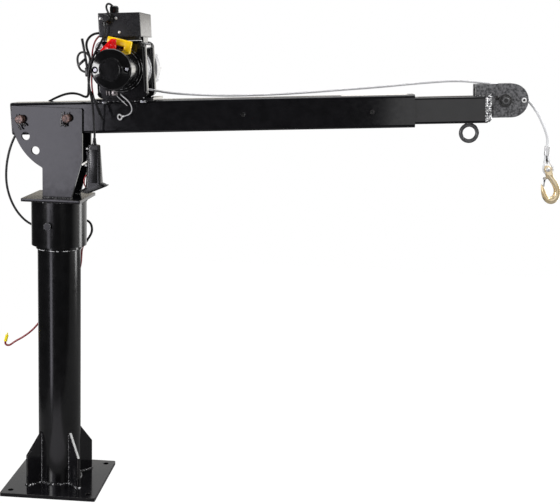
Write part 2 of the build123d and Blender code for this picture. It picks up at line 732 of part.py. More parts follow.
with BuildPart() as winch_bolts:
    with BuildSketch(boom_deck(BOOM_HALF)):
        with Locations(*foot_bolts):
            Circle(FOOT_BOLT_R)
    extrude(amount=FOOT_BOLT_GRIP)
    with BuildSketch(boom_deck(BOOM_HALF)):
        with Locations(*foot_bolts):
            hex_bolt_head(FOOT_BOLT_FLATS)
    extrude(amount=-FOOT_BOLT_HEAD)
save(winch_bolts, "winch_bolts")

with BuildPart() as winch_tie_bars:
    for bar_side in (-1, 1):
        boom_pin(WINCH_S + bar_side * TIE_BAR_S, TIE_BAR_N, TIE_BAR_R, -SUPPORT_INNER, SUPPORT_INNER)
save(winch_tie_bars, "winch_tie_bars")

winch_axis = Axis(boom_point(WINCH_S, WINCH_N), (0, 1, 0))
winch_near = Plane(origin=boom_point(WINCH_S, WINCH_N), x_dir=(0, -1, 0), z_dir=BOOM_DIR)
winch_far = Plane(origin=boom_point(WINCH_S, WINCH_N), x_dir=(0, 1, 0), z_dir=BOOM_DIR)
motor_end = SUPPORT_OUTER + MOTOR_LENGTH
cap_face = motor_end + CAP_DEPTH - CAP_BOSS_H

with BuildPart() as winch_motor:
    boom_pin(WINCH_S, WINCH_N, MOTOR_R, -motor_end, -SUPPORT_OUTER)
    boom_pin(WINCH_S, WINCH_N, MOTOR_FLANGE_R, -SUPPORT_OUTER - MOTOR_FLANGE_T, -SUPPORT_OUTER)
save(winch_motor, "winch_motor")

screw_spots = [(WINCH_S + side * MOTOR_SCREW_RADIUS, WINCH_N) for side in (-1, 1)]
with BuildPart() as motor_end_cap:
    with BuildSketch(winch_near):
        with BuildLine():
            shoulder = (cap_face - CAP_RISE - CAP_ROUND, MOTOR_R)
            brow = (cap_face - CAP_RISE, MOTOR_R - CAP_ROUND)
            crown = (cap_face, CAP_BOSS_R + CAP_STEP)
            boss_face = cap_face + CAP_BOSS_H
            boss_floor = boss_face - CAP_STEP
            dish_r = CAP_BOSS_R - CAP_RIM
            Polyline((motor_end, 0), (motor_end, MOTOR_R), shoulder)
            TangentArc(shoulder, brow, tangent=(1, 0))
            Polyline(brow, crown, (boss_face, CAP_BOSS_R), (boss_face, dish_r),
                     (boss_floor, dish_r - CAP_STEP / 2), (boss_floor, 0), (motor_end, 0))
        make_face()
    revolve(axis=winch_axis)
    with BuildSketch(boom_side(-motor_end)):
        with Locations(*screw_spots):
            Circle(MOTOR_SCREW_R + RUNNING)
    extrude(amount=CAP_DEPTH, mode=Mode.SUBTRACT)
    with BuildSketch(boom_side(-(motor_end + MOTOR_SCREW_LENGTH - MOTOR_SCREW_HEAD))):
        with Locations(*screw_spots):
            Circle(MOTOR_RECESS_R)
    extrude(amount=CAP_DEPTH, mode=Mode.SUBTRACT)
save(motor_end_cap, "motor_end_cap")

with BuildPart() as motor_screws:
    with BuildSketch(boom_side(-motor_end)):
        with Locations(*screw_spots):
            Circle(MOTOR_SCREW_R)
    extrude(amount=MOTOR_SCREW_LENGTH)
save(motor_screws, "motor_screws")

gearbox_end = SUPPORT_OUTER + GEARBOX_LENGTH
with BuildPart() as winch_gearbox:
    with BuildSketch(winch_far):
        with BuildLine():
            flange_end = SUPPORT_OUTER + GEARBOX_FLANGE_T
            dome = (gearbox_end - GEARBOX_R / 3, GEARBOX_R - GEARBOX_RIB)
            Polyline((SUPPORT_OUTER, 0), (SUPPORT_OUTER, GEARBOX_R), (flange_end, GEARBOX_R),
                     (flange_end, GEARBOX_R - GEARBOX_RIB), dome)
            TangentArc(dome, (gearbox_end, CLUTCH_R + GEARBOX_NOSE), tangent=(1, 0))
            Polyline((gearbox_end, CLUTCH_R + GEARBOX_NOSE), (gearbox_end, 0), (SUPPORT_OUTER, 0))
        make_face()
    revolve(axis=winch_axis)
    with BuildSketch(boom_side(dome[0])):
        with Locations((WINCH_S, WINCH_N)):
            with PolarLocations(GEARBOX_R - GEARBOX_RIB, GEARBOX_RIBS):
                Rectangle(2 * GEARBOX_RIB, 2 * GEARBOX_RIB)
    extrude(amount=dome[0] - flange_end)
    with BuildSketch(boom_side(gearbox_end)):
        with Locations((WINCH_S, WINCH_N)):
            Circle(CLUTCH_SHAFT_R + RUNNING)
    extrude(amount=CLUTCH_SHAFT_DEPTH + SEAT, mode=Mode.SUBTRACT)
save(winch_gearbox, "winch_gearbox")

knob_near = gearbox_end + SEAT
knob_far = knob_near + CLUTCH_H
with BuildPart() as clutch_knob:
    boom_pin(WINCH_S, WINCH_N, CLUTCH_R, knob_near, knob_far)
    boom_pin(WINCH_S, WINCH_N, CLUTCH_SHAFT_R, gearbox_end - CLUTCH_SHAFT_DEPTH, knob_near)
    with BuildSketch(boom_side(knob_far)):
        with Locations((WINCH_S, WINCH_N)):
            SlotOverall(2 * CLUTCH_R - CLUTCH_GRIP_W / 3, CLUTCH_GRIP_W)
    extrude(amount=-CLUTCH_GRIP_H)
save(clutch_knob, "clutch_knob")

flange_outer = DRUM_HALF + DRUM_FLANGE_T
with BuildPart() as drum:
    boom_pin(WINCH_S, WINCH_N, DRUM_CORE_R, -DRUM_HALF, DRUM_HALF)
    boom_pin(WINCH_S, WINCH_N, DRUM_FLANGE_R, -flange_outer, -DRUM_HALF)
    boom_pin(WINCH_S, WINCH_N, DRUM_FLANGE_R, DRUM_HALF, flange_outer)
    journal_end = SUPPORT_OUTER - SEAT
    boom_pin(WINCH_S, WINCH_N, DRUM_SHAFT_R, -journal_end, -flange_outer)
    boom_pin(WINCH_S, WINCH_N, DRUM_SHAFT_R, flange_outer, journal_end)
save(drum, "drum")

# Control box over the winch
box_left = BOX_S - BOX_LENGTH / 2
box_right = BOX_S + BOX_LENGTH / 2
box_mid_y = BOX_FRONT_Y + BOX_DEPTH / 2
shell_floor = BOX_FLOOR_N + BOX_WALL
box_top = BOX_FLOOR_N + BOX_HEIGHT
bar_top = TIE_BAR_N + TIE_BAR_R
rear_leg = WINCH_S - TIE_BAR_S + BOX_LEG_T / 2
front_leg = WINCH_S + TIE_BAR_S + BOX_LEG_T / 2
box_legs = ((rear_leg, max(rear_leg + BOX_LEG_T, box_left + BOX_LEG_LAP)),
            (min(front_leg - BOX_LEG_T, box_right - BOX_LEG_LAP), front_leg))
with BuildPart() as control_box_base:
    with BuildSketch(boom_deck(BOX_FLOOR_N)):
        with Locations((BOX_S, box_mid_y)):
            RectangleRounded(BOX_LENGTH, BOX_DEPTH, BOX_CORNER_R)
    extrude(amount=BOX_WALL)
    with BuildSketch(boom_deck(BOX_FLOOR_N)):
        for leg_from, leg_to in box_legs:
            with Locations(((leg_from + leg_to) / 2, 0)):
                Rectangle(leg_to - leg_from, BOX_LEG_LENGTH)
    extrude(amount=bar_top - BOX_FLOOR_N)
    for bar_side in (-1, 1):
        with BuildSketch(boom_side(SUPPORT_INNER)):
            with Locations((WINCH_S + bar_side * TIE_BAR_S, TIE_BAR_N)):
                Circle(TIE_BAR_R)
        extrude(amount=2 * SUPPORT_INNER, mode=Mode.SUBTRACT)
save(control_box_base, "control_box_base")

with BuildPart() as control_box_cover:
    with BuildSketch(boom_deck(shell_floor)):
        with Locations((BOX_S, box_mid_y)):
            RectangleRounded(BOX_LENGTH, BOX_DEPTH, BOX_CORNER_R)
    extrude(amount=box_top - shell_floor)
    fillet(faces().sort_by(Axis(boom_point(0, 0), BOOM_UP))[-1].edges(), BOX_CORNER_R * 0.6)
    with BuildSketch(boom_deck(shell_floor)):
        with Locations((BOX_S, box_mid_y)):
            Rectangle(BOX_LENGTH - 2 * BOX_WALL, BOX_DEPTH - 2 * BOX_WALL)
    extrude(amount=box_top - shell_floor - BOX_WALL, mode=Mode.SUBTRACT)
save(control_box_cover, "control_box_cover")

with BuildPart() as contactor:
    contactor_length, contactor_depth, contactor_height = CONTACTOR_SIZE
    with BuildSketch(boom_deck(shell_floor)):
        with Locations((BOX_S, box_mid_y)):
            Rectangle(contactor_length, contactor_depth)
    extrude(amount=contactor_height)
    with BuildSketch(boom_deck(shell_floor + contactor_height)):
        with Locations((BOX_S, box_mid_y)):
            with GridLocations(contactor_length / 2, contactor_depth / 2, 2, 2):
                Circle(SET_SCREW_R)
    extrude(amount=BOX_WALL * 3)
save(contactor, "contactor")

screw_places = [(box_left + left, box_top - drop) for left, drop in BOX_SCREWS]
with BuildPart() as box_screws:
    with BuildSketch(boom_side(BOX_FRONT_Y)):
        with Locations(*screw_places):
            Circle(BOX_SCREW_R)
    extrude(amount=BOX_SCREW_H)
save(box_screws, "box_screws")

socket_s = box_left + SOCKET_LEFT
socket_n = box_top - SOCKET_DROP
socket_face = BOX_FRONT_Y - SOCKET_T
with BuildPart() as control_socket:
    boom_pin(socket_s, socket_n, SOCKET_R, socket_face, BOX_FRONT_Y)
    chamfer(edges().group_by(Axis.Y)[0], SOCKET_T / 4)
save(control_socket, "control_socket")

plug_end = socket_face - PLUG_LENGTH
with BuildPart() as pendant_plug:
    boom_pin(socket_s, socket_n, PLUG_R, plug_end, socket_face)
    fillet(edges().group_by(Axis.Y)[0], PLUG_R / 3)
    with BuildSketch(boom_deck(socket_n - PLUG_R * 0.8)):
        with Locations((socket_s - PLUG_R / 3, plug_end + PLUG_R)):
            Circle(PLUG_R * 0.62)
    extrude(amount=-PLUG_R)
save(pendant_plug, "pendant_plug")

cap_seat = boom_point(socket_s + 22.0, box_top, BOX_FRONT_Y + DUST_CAP_R)
strap_points = boom_route([(socket_s + 4.0, socket_n + SOCKET_R + 1.5, BOX_FRONT_Y - 2.6),
                           (socket_s + 3.0, box_top + 8.0, BOX_FRONT_Y - 2.6),
                           (socket_s + 6.0, box_top + 19.0, BOX_FRONT_Y),
                           (socket_s + 14.0, box_top + 19.0, BOX_FRONT_Y + 4.0),
                           (socket_s + 20.0, box_top + 9.0, BOX_FRONT_Y + DUST_CAP_R)])
with BuildPart() as dust_cap:
    with BuildSketch(Plane(origin=cap_seat, x_dir=BOOM_DIR, z_dir=BOOM_UP)):
        Circle(DUST_CAP_R)
    extrude(amount=DUST_CAP_H)
    fillet(edges().group_by(Axis.Z)[-1], DUST_CAP_R / 3)
    with BuildLine() as strap_line:
        FilletPolyline(*strap_points, radius=bend_radii(strap_points))
    strap_wire = strap_line.wires()[0]
    with BuildSketch(Plane(origin=strap_wire @ 0, z_dir=strap_wire % 0)):
        Circle(STRAP_R)
    sweep(path=strap_wire)
    with BuildSketch(boom_side(BOX_FRONT_Y)):
        with Locations((socket_s, socket_n)):
            Circle(SOCKET_R + 2.5)
            Circle(SOCKET_R + SEAT, mode=Mode.SUBTRACT)
    extrude(amount=BOX_WALL)
save(dust_cap, "dust_cap")

# Rubber boots over the motor's terminals
boot_y = -(SUPPORT_OUTER + MOTOR_LENGTH * 0.62)
boot_bore_r = MOTOR_R + SEAT
red_outline = [(WINCH_S + s, WINCH_N + n) for s, n in RED_BOOT]
yellow_run = [(WINCH_S + s, WINCH_N + n) for s, n in YELLOW_BOOT]
with BuildPart() as red_boot:
    with BuildSketch(boom_side(boot_y + BOOT_T / 2)):
        with BuildLine():
            Polyline(*red_outline, close=True)
        make_face()
        fillet(vertices().group_by(Axis.Z)[-1], BOOT_T / 6)
    extrude(amount=BOOT_T)
    fillet(edges().filter_by(Axis.Y, reverse=True), BOOT_T / 8)
    with BuildSketch(boom_side(0)):
        with Locations((WINCH_S, WINCH_N)):
            Circle(boot_bore_r)
    extrude(amount=motor_end, mode=Mode.SUBTRACT)
save(red_boot, "red_boot")

with BuildPart() as yellow_boot:
    elbow_y = boot_y + BOOT_T + BOOT_GAP
    with BuildLine(boom_side(elbow_y)) as elbow:
        FilletPolyline(*yellow_run, radius=YELLOW_BEND_R)
    elbow_wire = elbow.wires()[0]
    with BuildSketch(Plane(origin=elbow_wire @ 0, z_dir=elbow_wire % 0)):
        RectangleRounded(2 * BOOT_TUBE_R, 2 * BOOT_TUBE_R, BOOT_TUBE_R / 2)
    sweep(path=elbow_wire)
    with BuildSketch(boom_side(0)):
        with Locations((WINCH_S, WINCH_N)):
            Circle(boot_bore_r)
    extrude(amount=motor_end, mode=Mode.SUBTRACT)
save(yellow_boot, "yellow_boot")

# Hand pendant that hangs beside the bracket
pendant_bottom = PENDANT_TOP - PENDANT_H
flare_top = pendant_bottom + PENDANT_FLARE_H
rocker_z = PENDANT_TOP - ROCKER_DROP


def pendant_half_width(z):
    """Return half the width of the pendant's tapered body at a height."""
    share = (PENDANT_TOP - z) / (PENDANT_TOP - flare_top)
    return (PENDANT_TOP_W + (PENDANT_FOOT_W - PENDANT_TOP_W) * share) / 2


pendant_origin = Plane(origin=(PENDANT_X, PENDANT_Y, 0))
rocker_x = -pendant_half_width(rocker_z)
with BuildPart() as pendant_body:
    for z, width in ((flare_top, PENDANT_FOOT_W), (PENDANT_TOP, PENDANT_TOP_W)):
        with BuildSketch(pendant_origin.offset(z)):
            RectangleRounded(width, PENDANT_DEPTH, PENDANT_DEPTH / 4)
    loft()
    for z, width, depth in ((pendant_bottom, PENDANT_FLARE_W, PENDANT_DEPTH * 1.3),
                            (flare_top, PENDANT_FOOT_W, PENDANT_DEPTH)):
        with BuildSketch(pendant_origin.offset(z)):
            RectangleRounded(width, depth, PENDANT_DEPTH / 4)
    loft()
    pocket_depth = ROCKER_W * 0.8
    with BuildSketch(Plane(origin=(PENDANT_X + rocker_x + pocket_depth, PENDANT_Y, rocker_z),
                           x_dir=(0, 1, 0), z_dir=(-1, 0, 0))):
        Rectangle(ROCKER_W + 2 * SEAT, ROCKER_H + 2 * ROCKER_ROOM)
    extrude(amount=PENDANT_TOP_W, mode=Mode.SUBTRACT)
    with BuildSketch(world_side(PENDANT_Y)):
        with Locations((PENDANT_X + rocker_x + pocket_depth / 2, rocker_z)):
            Circle(ROCKER_PIN_R + RUNNING)
    extrude(amount=PENDANT_DEPTH / 2 - ROCKER_PIN_SKIN, both=True, mode=Mode.SUBTRACT)
save(pendant_body, "pendant_body")

with BuildPart() as pendant_rocker:
    with BuildSketch(world_side(PENDANT_Y + ROCKER_W / 2)):
        with BuildLine():
            left = PENDANT_X + rocker_x
            back = left + pocket_depth / 2 + ROCKER_PIN_R + ROCKER_BACK
            top = rocker_z + ROCKER_H / 2
            bottom = rocker_z - ROCKER_H / 2
            Polyline((left + ROCKER_BACK, top), (left - ROCKER_PROUD, top),
                     (left - ROCKER_PROUD / 3, rocker_z), (left - ROCKER_PROUD, bottom),
                     (left + ROCKER_BACK, bottom), (back, rocker_z - ROCKER_PIN_R),
                     (back, rocker_z + ROCKER_PIN_R), close=True)
        make_face()
    extrude(amount=ROCKER_W)
    with BuildSketch(world_side(PENDANT_Y)):
        with Locations((PENDANT_X + rocker_x + pocket_depth / 2, rocker_z)):
            Circle(ROCKER_PIN_R)
    extrude(amount=PENDANT_DEPTH / 2 - ROCKER_PIN_SKIN - SEAT, both=True)
save(pendant_rocker, "pendant_rocker")

# Wire rope: the drum's outer layer, the slack span along the boom, and the tail to the hook
turn_start = -90.0 - 360.0 * ROPE_LOOPS


def wound_point(angle):
    """Return a point on the rope's outer layer and the rope's direction there."""
    turn = radians(angle)
    advance = ROPE_PITCH * (angle + 90.0) / 360.0
    place = boom_point(WINCH_S + ROPE_LAYER_R * cos(turn), WINCH_N + ROPE_LAYER_R * sin(turn),
                       ROPE_EXIT_Y + advance)
    along = BOOM_DIR * -sin(turn) + BOOM_UP * cos(turn)
    slope = ROPE_PITCH / (2 * pi * ROPE_LAYER_R)
    return place, (along + Vector(0, slope, 0)).normalized()


def biarc_joint(start, start_dir, end, end_dir):
    """Return the point where two equal-tangent arcs meet, and their common direction."""
    chord = end - start
    both = start_dir + end_dir
    across = chord.dot(both)
    spread = 2 * (1 - start_dir.dot(end_dir))
    reach = (-across + sqrt(across**2 + spread * chord.dot(chord))) / spread
    joint = (start + end + (start_dir - end_dir) * reach) / 2
    return joint, (chord - both * reach).normalized()


rope_end_dir = wound_point(-90.0)[1]
with BuildPart() as rope_wound:
    with BuildLine() as winding:
        first, first_dir = wound_point(turn_start)
        Line(first - first_dir * 2 * ROPE_R, first)
        for quarter in range(round(4 * ROPE_LOOPS)):
            here, here_dir = wound_point(turn_start + 90.0 * quarter)
            there, there_dir = wound_point(turn_start + 90.0 * (quarter + 1))
            middle, middle_dir = biarc_joint(here, here_dir, there, there_dir)
            TangentArc(here, middle, tangent=here_dir)
            TangentArc(middle, there, tangent=middle_dir)
        last = wound_point(-90.0)[0]
        rope_exit = last + rope_end_dir * 2 * ROPE_R
        Line(last, rope_exit)
    winding_wire = winding.wires()[0]
    with BuildSketch(Plane(origin=winding_wire @ 0, z_dir=winding_wire % 0)):
        Circle(ROPE_R)
    sweep(path=winding_wire)
samples = [wound_point(turn_start + 12.0 * k)[0] for k in range(round(30 * ROPE_LOOPS) + 1)]
least_gap = min((a - b).length for i, a in enumerate(samples) for b in samples[i + 20:]) - 2 * ROPE_R
rope_share = rope_wound.part.volume / (pi * ROPE_R**2 * winding_wire.length)
print(f"rope_wound: length {winding_wire.length:.0f}, least gap {least_gap:.2f}, share {rope_share:.4f}")
save(rope_wound, "rope_wound")

rope_span = [rope_exit, rope_exit + rope_end_dir * 22.0] + boom_route([
    (206, 61.5, 31.0), (246, 54.0, 29.0), (304, 49.0, 26.0), (376, 45.2, 23.0), (450, 44.6, 20.0),
    (524, 46.0, 17.0), (598, 49.2, 14.0), (672, 53.4, 11.0), (746, 57.4, 8.0), (820, 62.4, 5.0),
    (890, 67.6, 2.0), (952, 70.6, 0.4), (1004, 67.0, 0.0), (1042, 61.0, 0.0)])
make_cord("rope_span", rope_span, ROPE_R)

span_dir = (rope_span[-1] - rope_span[-2]).normalized()
ferrule_x = HOOK_X - FERRULE_OFFSET
ferrule_bottom = HOOK_Z + FERRULE_RISE
ferrule_top = ferrule_bottom + FERRULE_H
rope_tail = [rope_span[-1], rope_span[-1] + span_dir * 18.0] + boom_route([
    (1081, 52.6, 0), (1102.5, 44.2, 0), (1123, 31.5, 0)]) + [
    Vector(1175.5, 0, 1061.5), Vector(1194, 0, 1039), Vector(1209.5, 0, 1012), Vector(1220.5, 0, 989),
    Vector(ferrule_x, 0, ferrule_top + FERRULE_RUN), Vector(ferrule_x, 0, ferrule_top)]
make_cord("rope_tail", rope_tail, ROPE_R)

with BuildPart() as ferrule:
    with BuildSketch(Plane.XY.offset(ferrule_bottom)):
        with Locations((ferrule_x, 0)):
            SlotOverall(2 * FERRULE_R, 2 * FERRULE_R * 0.7)
    extrude(amount=FERRULE_H)
    fillet(edges().group_by(Axis.Z)[-1], FERRULE_R / 5)
save(ferrule, "ferrule")

eye_leg = EYE_ROPE_R + SEAT
leg_x = eye_leg - FERRULE_OFFSET
far_leg_x = -eye_leg - FERRULE_OFFSET
rope_eye = [Vector(HOOK_X + x, 0, HOOK_Z + z) for x, z in (
    (leg_x, FERRULE_RISE), (leg_x, 27.0), (3.5, 18.0), (11.0, 9.0), (14.0, -1.0), (9.5, -10.0), (-0.5, -12.0),
    (-8.8, -6.5), (-10.4, 4.0), (-9.2, 15.0), (far_leg_x, 26.0), (far_leg_x, FERRULE_RISE))]
make_cord("rope_eye", rope_eye, EYE_ROPE_R)


# Hook with its clevis, pin and spring latch, drawn from the clevis pin's axis
def hook_plane(y):
    """Return the upright plane through the clevis pin's axis at y."""
    return Plane(origin=(HOOK_X, y, HOOK_Z), x_dir=(1, 0, 0), z_dir=(0, -1, 0))


with BuildPart() as hook:
    with BuildSketch(hook_plane(HOOK_T / 2)):
        with BuildLine():
            Polyline((HOOK_EYE_R, 0), HOOK_SHOULDER, HOOK_BACK)
            ThreePointArc(HOOK_BACK, HOOK_BOTTOM, HOOK_BEAK_FOOT)
            Polyline(HOOK_BEAK_FOOT, HOOK_BEAK, HOOK_BEAK_INNER, HOOK_BOWL_NEAR)
            ThreePointArc(HOOK_BOWL_NEAR, HOOK_BOWL, HOOK_BOWL_FAR)
            Polyline(HOOK_BOWL_FAR, HOOK_THROAT, HOOK_NECK, (-HOOK_EYE_R, 0))
            ThreePointArc((-HOOK_EYE_R, 0), (0, HOOK_EYE_R), (HOOK_EYE_R, 0))
        make_face()
    extrude(amount=HOOK_T)
    fillet(faces().filter_by(Axis.Y).edges(), HOOK_EDGE_R)
    with BuildSketch(hook_plane(HOOK_SLOT / 2)):
        Circle(HOOK_SLOT_R)
    extrude(amount=HOOK_SLOT, mode=Mode.SUBTRACT)
    with BuildSketch(hook_plane(LATCH_LUG_T / 2)):
        with Locations(LATCH_PIN):
            Circle(LATCH_LUG_R)
        with BuildLine():
            lug = Vector(*LATCH_PIN)
            lug_cut = Vector(LATCH_LUG_R, 0).rotate(Axis.Z, -LATCH_LUG_CUT)
            Polyline(lug + Vector(0, LATCH_LUG_R), lug + Vector(LATCH_LUG_TOP, LATCH_LUG_R),
                     lug + Vector(*LATCH_LUG_ROOT), lug + lug_cut, close=True)
        make_face()
    extrude(amount=LATCH_LUG_T)
    with BuildSketch(hook_plane(HOOK_T)):
        Circle(HOOK_PIN_R + RUNNING)
        with Locations(LATCH_PIN):
            Circle(LATCH_PIN_R + RUNNING)
    extrude(amount=2 * HOOK_T, mode=Mode.SUBTRACT)
save(hook, "hook")

latch_half = LATCH_LUG_T / 2 + SEAT + LATCH_T
with BuildPart() as hook_pins:
    with BuildSketch(hook_plane(HOOK_T / 2)):
        Circle(HOOK_PIN_R)
    extrude(amount=HOOK_T)
    with BuildSketch(hook_plane(latch_half)):
        with Locations(LATCH_PIN):
            Circle(LATCH_PIN_R)
    extrude(amount=2 * latch_half)
save(hook_pins, "hook_pins")

latch_x, latch_z = LATCH_PIN
tip_x, tip_z = LATCH_TIP
latch_run = Vector(tip_x - latch_x, tip_z - latch_z)
latch_dir = latch_run.normalized()
latch_frame = Plane(origin=(HOOK_X + latch_x, 0, HOOK_Z + latch_z),
                    x_dir=(latch_dir.X, 0, latch_dir.Y), z_dir=(0, -1, 0))
with BuildPart() as latch:
    for ear_y in (-latch_half + LATCH_T, latch_half):
        with BuildSketch(latch_frame.offset(-ear_y)):
            Circle(LATCH_LUG_R)
            with Locations((LATCH_LUG_R, 0)):
                Rectangle(2 * LATCH_LUG_R, 2 * LATCH_T)
            Circle(LATCH_PIN_R + RUNNING, mode=Mode.SUBTRACT)
        extrude(amount=LATCH_T)
    with BuildSketch(latch_frame.offset(-latch_half)):
        with Locations(((latch_run.length + LATCH_LUG_R + SEAT) / 2, 0)):
            Rectangle(latch_run.length - LATCH_LUG_R - SEAT, LATCH_T)
    extrude(amount=2 * latch_half)
save(latch, "latch")

# Hand control's cable, from its plug to the top of the pendant
spigot = boom_point(socket_s - PLUG_R / 3, socket_n - PLUG_R * 1.8, plug_end + PLUG_R)
pendant_cable = [spigot, spigot - BOOM_UP * 13.0] + boom_route([
    (112, 190, -104), (102, 173, -107), (91, 155, -110), (82, 137, -111.8), (75.5, 118, -112),
    (72.5, 98, -111.5), (73, 78, -109.5), (75, 58, -106), (76.5, 38, -101.5), (76.5, 18, -97),
    (75.5, -2, -92.5), (74.2, -21, -88)])
pendant_cable += [Vector(PENDANT_X + 1.0, PENDANT_Y - 2.0, PENDANT_TOP + 31.0),
                  Vector(PENDANT_X, PENDANT_Y, PENDANT_TOP + 15.0), Vector(PENDANT_X, PENDANT_Y, PENDANT_TOP)]
make_cord("pendant_cable", pendant_cable, CABLE_R)

# Power cable: out of the control box, down beside the motor, over the boom and behind it
power_upper = boom_route([
    (box_left, 204, -62), (89, 204, -62), (78, 201, -65), (68.5, 193, -69.5), (63.5, 181, -75),
    (65, 168, -80), (70.5, 155.5, -84.5), (74.5, 141.5, -89), (74.5, 126, -92), (72, 109, -93),
    (68.5, 91, -91.5), (66, 73, -87), (62.5, 58, -77.5), (55, 51.5, -64), (44, 52, -47.5),
    (30, 56.5, -30), (13, 59.5, -12), (-5, 59.5, 5), (-24, 56.5, 20), (-44, 50.5, 34), (-63, 43.5, 46),
    (-81, 34.5, 55), (-98, 22, 60.5)])
make_cord("power_cable_upper", power_upper, CABLE_R)
upper_dir = (power_upper[-1] - power_upper[-2]).normalized()
power_lower = [power_upper[-1], power_upper[-1] + upper_dir * 18.0] + [Vector(*point) for point in (
    (-98, 68, 967), (-119, 68, 945), (-136, 67, 918), (-148, 66, 888), (-156, 66, 856), (-160, 67, 824),
    (-160, 69, 792), (-154, 72, 760), (-143, 76, 731), (-127, 80, 706), (-106, 83, 687), (-80, 86, 677),
    (-52, 88, 676), (-24, 89, 681), (4, 89, 690), (28, 85, 699), (46, 77, 704), (60, 66.5, 703.5),
    (69.5, 58, 696.5), (73, 54.5, 685), (70.5, 57, 673), (64, 62.5, 662), (57, 68, 653))]
make_cord("power_cable_lower", power_lower, CABLE_R)
splice_dir = (power_lower[-1] - power_lower[-2]).normalized()
splice_end = power_lower[-1] + splice_dir * SPLICE_LENGTH
red_lead = [splice_end, splice_end + splice_dir * 9.0] + [Vector(*point) for point in (
    (38.6, 81, 622), (37.6, 81.5, 605), (36.5, 81.5, 586), (32, 82, 566), (22.5, 83, 545.5),
    (8, 83.5, 524), (-10, 82.5, 502), (-29.5, 79.5, 479), (-48, 74, 455), (-65, 68, 431.5),
    (-79, 63, 412.5), (-90.5, 60, 399), (-104.5, 57, 387), (-121, 54, 375.5), (-137, 52, 366.5),
    (-147, 50, 358), (-154, 48.9, 355.2), (-160.6, 48.3, 357.4), (-162.3, 48.1, 363.6), (-161, 48, 368.4))]
make_cord("red_lead", red_lead, LEAD_R)
crimp_dir = (red_lead[-1] - red_lead[-2]).normalized()
with BuildPart() as lead_connectors:
    with BuildSketch(Plane(origin=power_lower[-1], z_dir=splice_dir)):
        Circle(SPLICE_R)
    extrude(amount=SPLICE_LENGTH)
    with BuildSketch(Plane(origin=red_lead[-1], z_dir=crimp_dir)):
        Circle(CRIMP_R)
    extrude(amount=CRIMP_LENGTH)
    with BuildSketch(Plane(origin=red_lead[-1] + crimp_dir * CRIMP_LENGTH, z_dir=crimp_dir)):
        Circle(BARE_TIP_R)
    extrude(amount=BARE_TIP_LENGTH)
save(lead_connectors, "lead_connectors")

# Slack loop of control cable in its tie, and the earth wire with its ring terminal
tie_depth, tie_length, tie_height = TIE_SIZE
tie_s, tie_n, tie_y = TIE_PLACE
loop_points = boom_route([(s, n, tie_y) for s, n in (
    (tie_s + 2, tie_n + tie_height / 2), (75, 132), (77.5, 142), (74, 153), (64.5, 160), (53.5, 158),
    (47, 148.5), (46.5, 136), (49, 124), (55, 115), (tie_s - tie_length / 2, tie_n))])
loop_radii = bend_radii(loop_points)
with BuildPart() as cable_loop:
    with BuildLine() as loop_line:
        FilletPolyline(*loop_points, radius=loop_radii)
    loop_wire = loop_line.wires()[0]
    with BuildSketch(Plane(origin=loop_wire @ 0, z_dir=loop_wire % 0)):
        Circle(LEAD_R)
    sweep(path=loop_wire)
    with BuildSketch(boom_deck(tie_n - tie_height / 2)):
        with Locations((tie_s, tie_y)):
            RectangleRounded(tie_length, tie_depth, TIE_CORNER_R)
    extrude(amount=tie_height)
print(f"cable_loop: length {loop_wire.length:.0f}, least radius {min(loop_radii):.1f}")
save(cable_loop, "cable_loop")

ground_points = boom_route([
    (140, 57, -SUPPORT_OUTER), (140, 57, -72.5), (143.5, 54.5, -77.5), (149.5, 50, -80.5), (157, 43.5, -81),
    (163.5, 35, -79), (166.5, 25, -74), (165, 15.5, -66.5), (159, 8.5, -59.5), (150, 4.2, -53.5),
    (140, 2.2, -49)])
ring_dir = (ground_points[-1] - ground_points[-2]).normalized()
ring_centre = ground_points[-1] + ring_dir * (RING_R + RING_NECK)
ground_radii = bend_radii(ground_points)
with BuildPart() as ground_wire:
    with BuildLine() as ground_line:
        FilletPolyline(*ground_points, radius=ground_radii)
    earth = ground_line.wires()[0]
    with BuildSketch(Plane(origin=earth @ 0, z_dir=earth % 0)):
        Circle(GROUND_WIRE_R)
    sweep(path=earth)
    with BuildSketch(Plane(origin=ground_points[-1], z_dir=ring_dir)):
        Circle(GROUND_WIRE_R * 1.4)
    extrude(amount=RING_BARREL)
    with BuildSketch(Plane(origin=ring_centre, x_dir=ring_dir, z_dir=ring_dir.cross(Vector(0, 0, 1)))):
        Circle(RING_R)
        Circle(RING_BORE_R, mode=Mode.SUBTRACT)
    extrude(amount=RING_T / 2, both=True)
print(f"ground_wire: length {earth.length:.0f}, least radius {min(ground_radii):.1f}")
save(ground_wire, "ground_wire")

print("nodes written:", len(os.listdir("parts")))
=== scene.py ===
"""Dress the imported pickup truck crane: finishes, softened metalwork, cords, welds, light and camera."""
from __future__ import annotations

import json
import logging
import math
from dataclasses import dataclass, field, replace
from enum import Enum

import bmesh
import bpy
from mathutils import Matrix, Vector

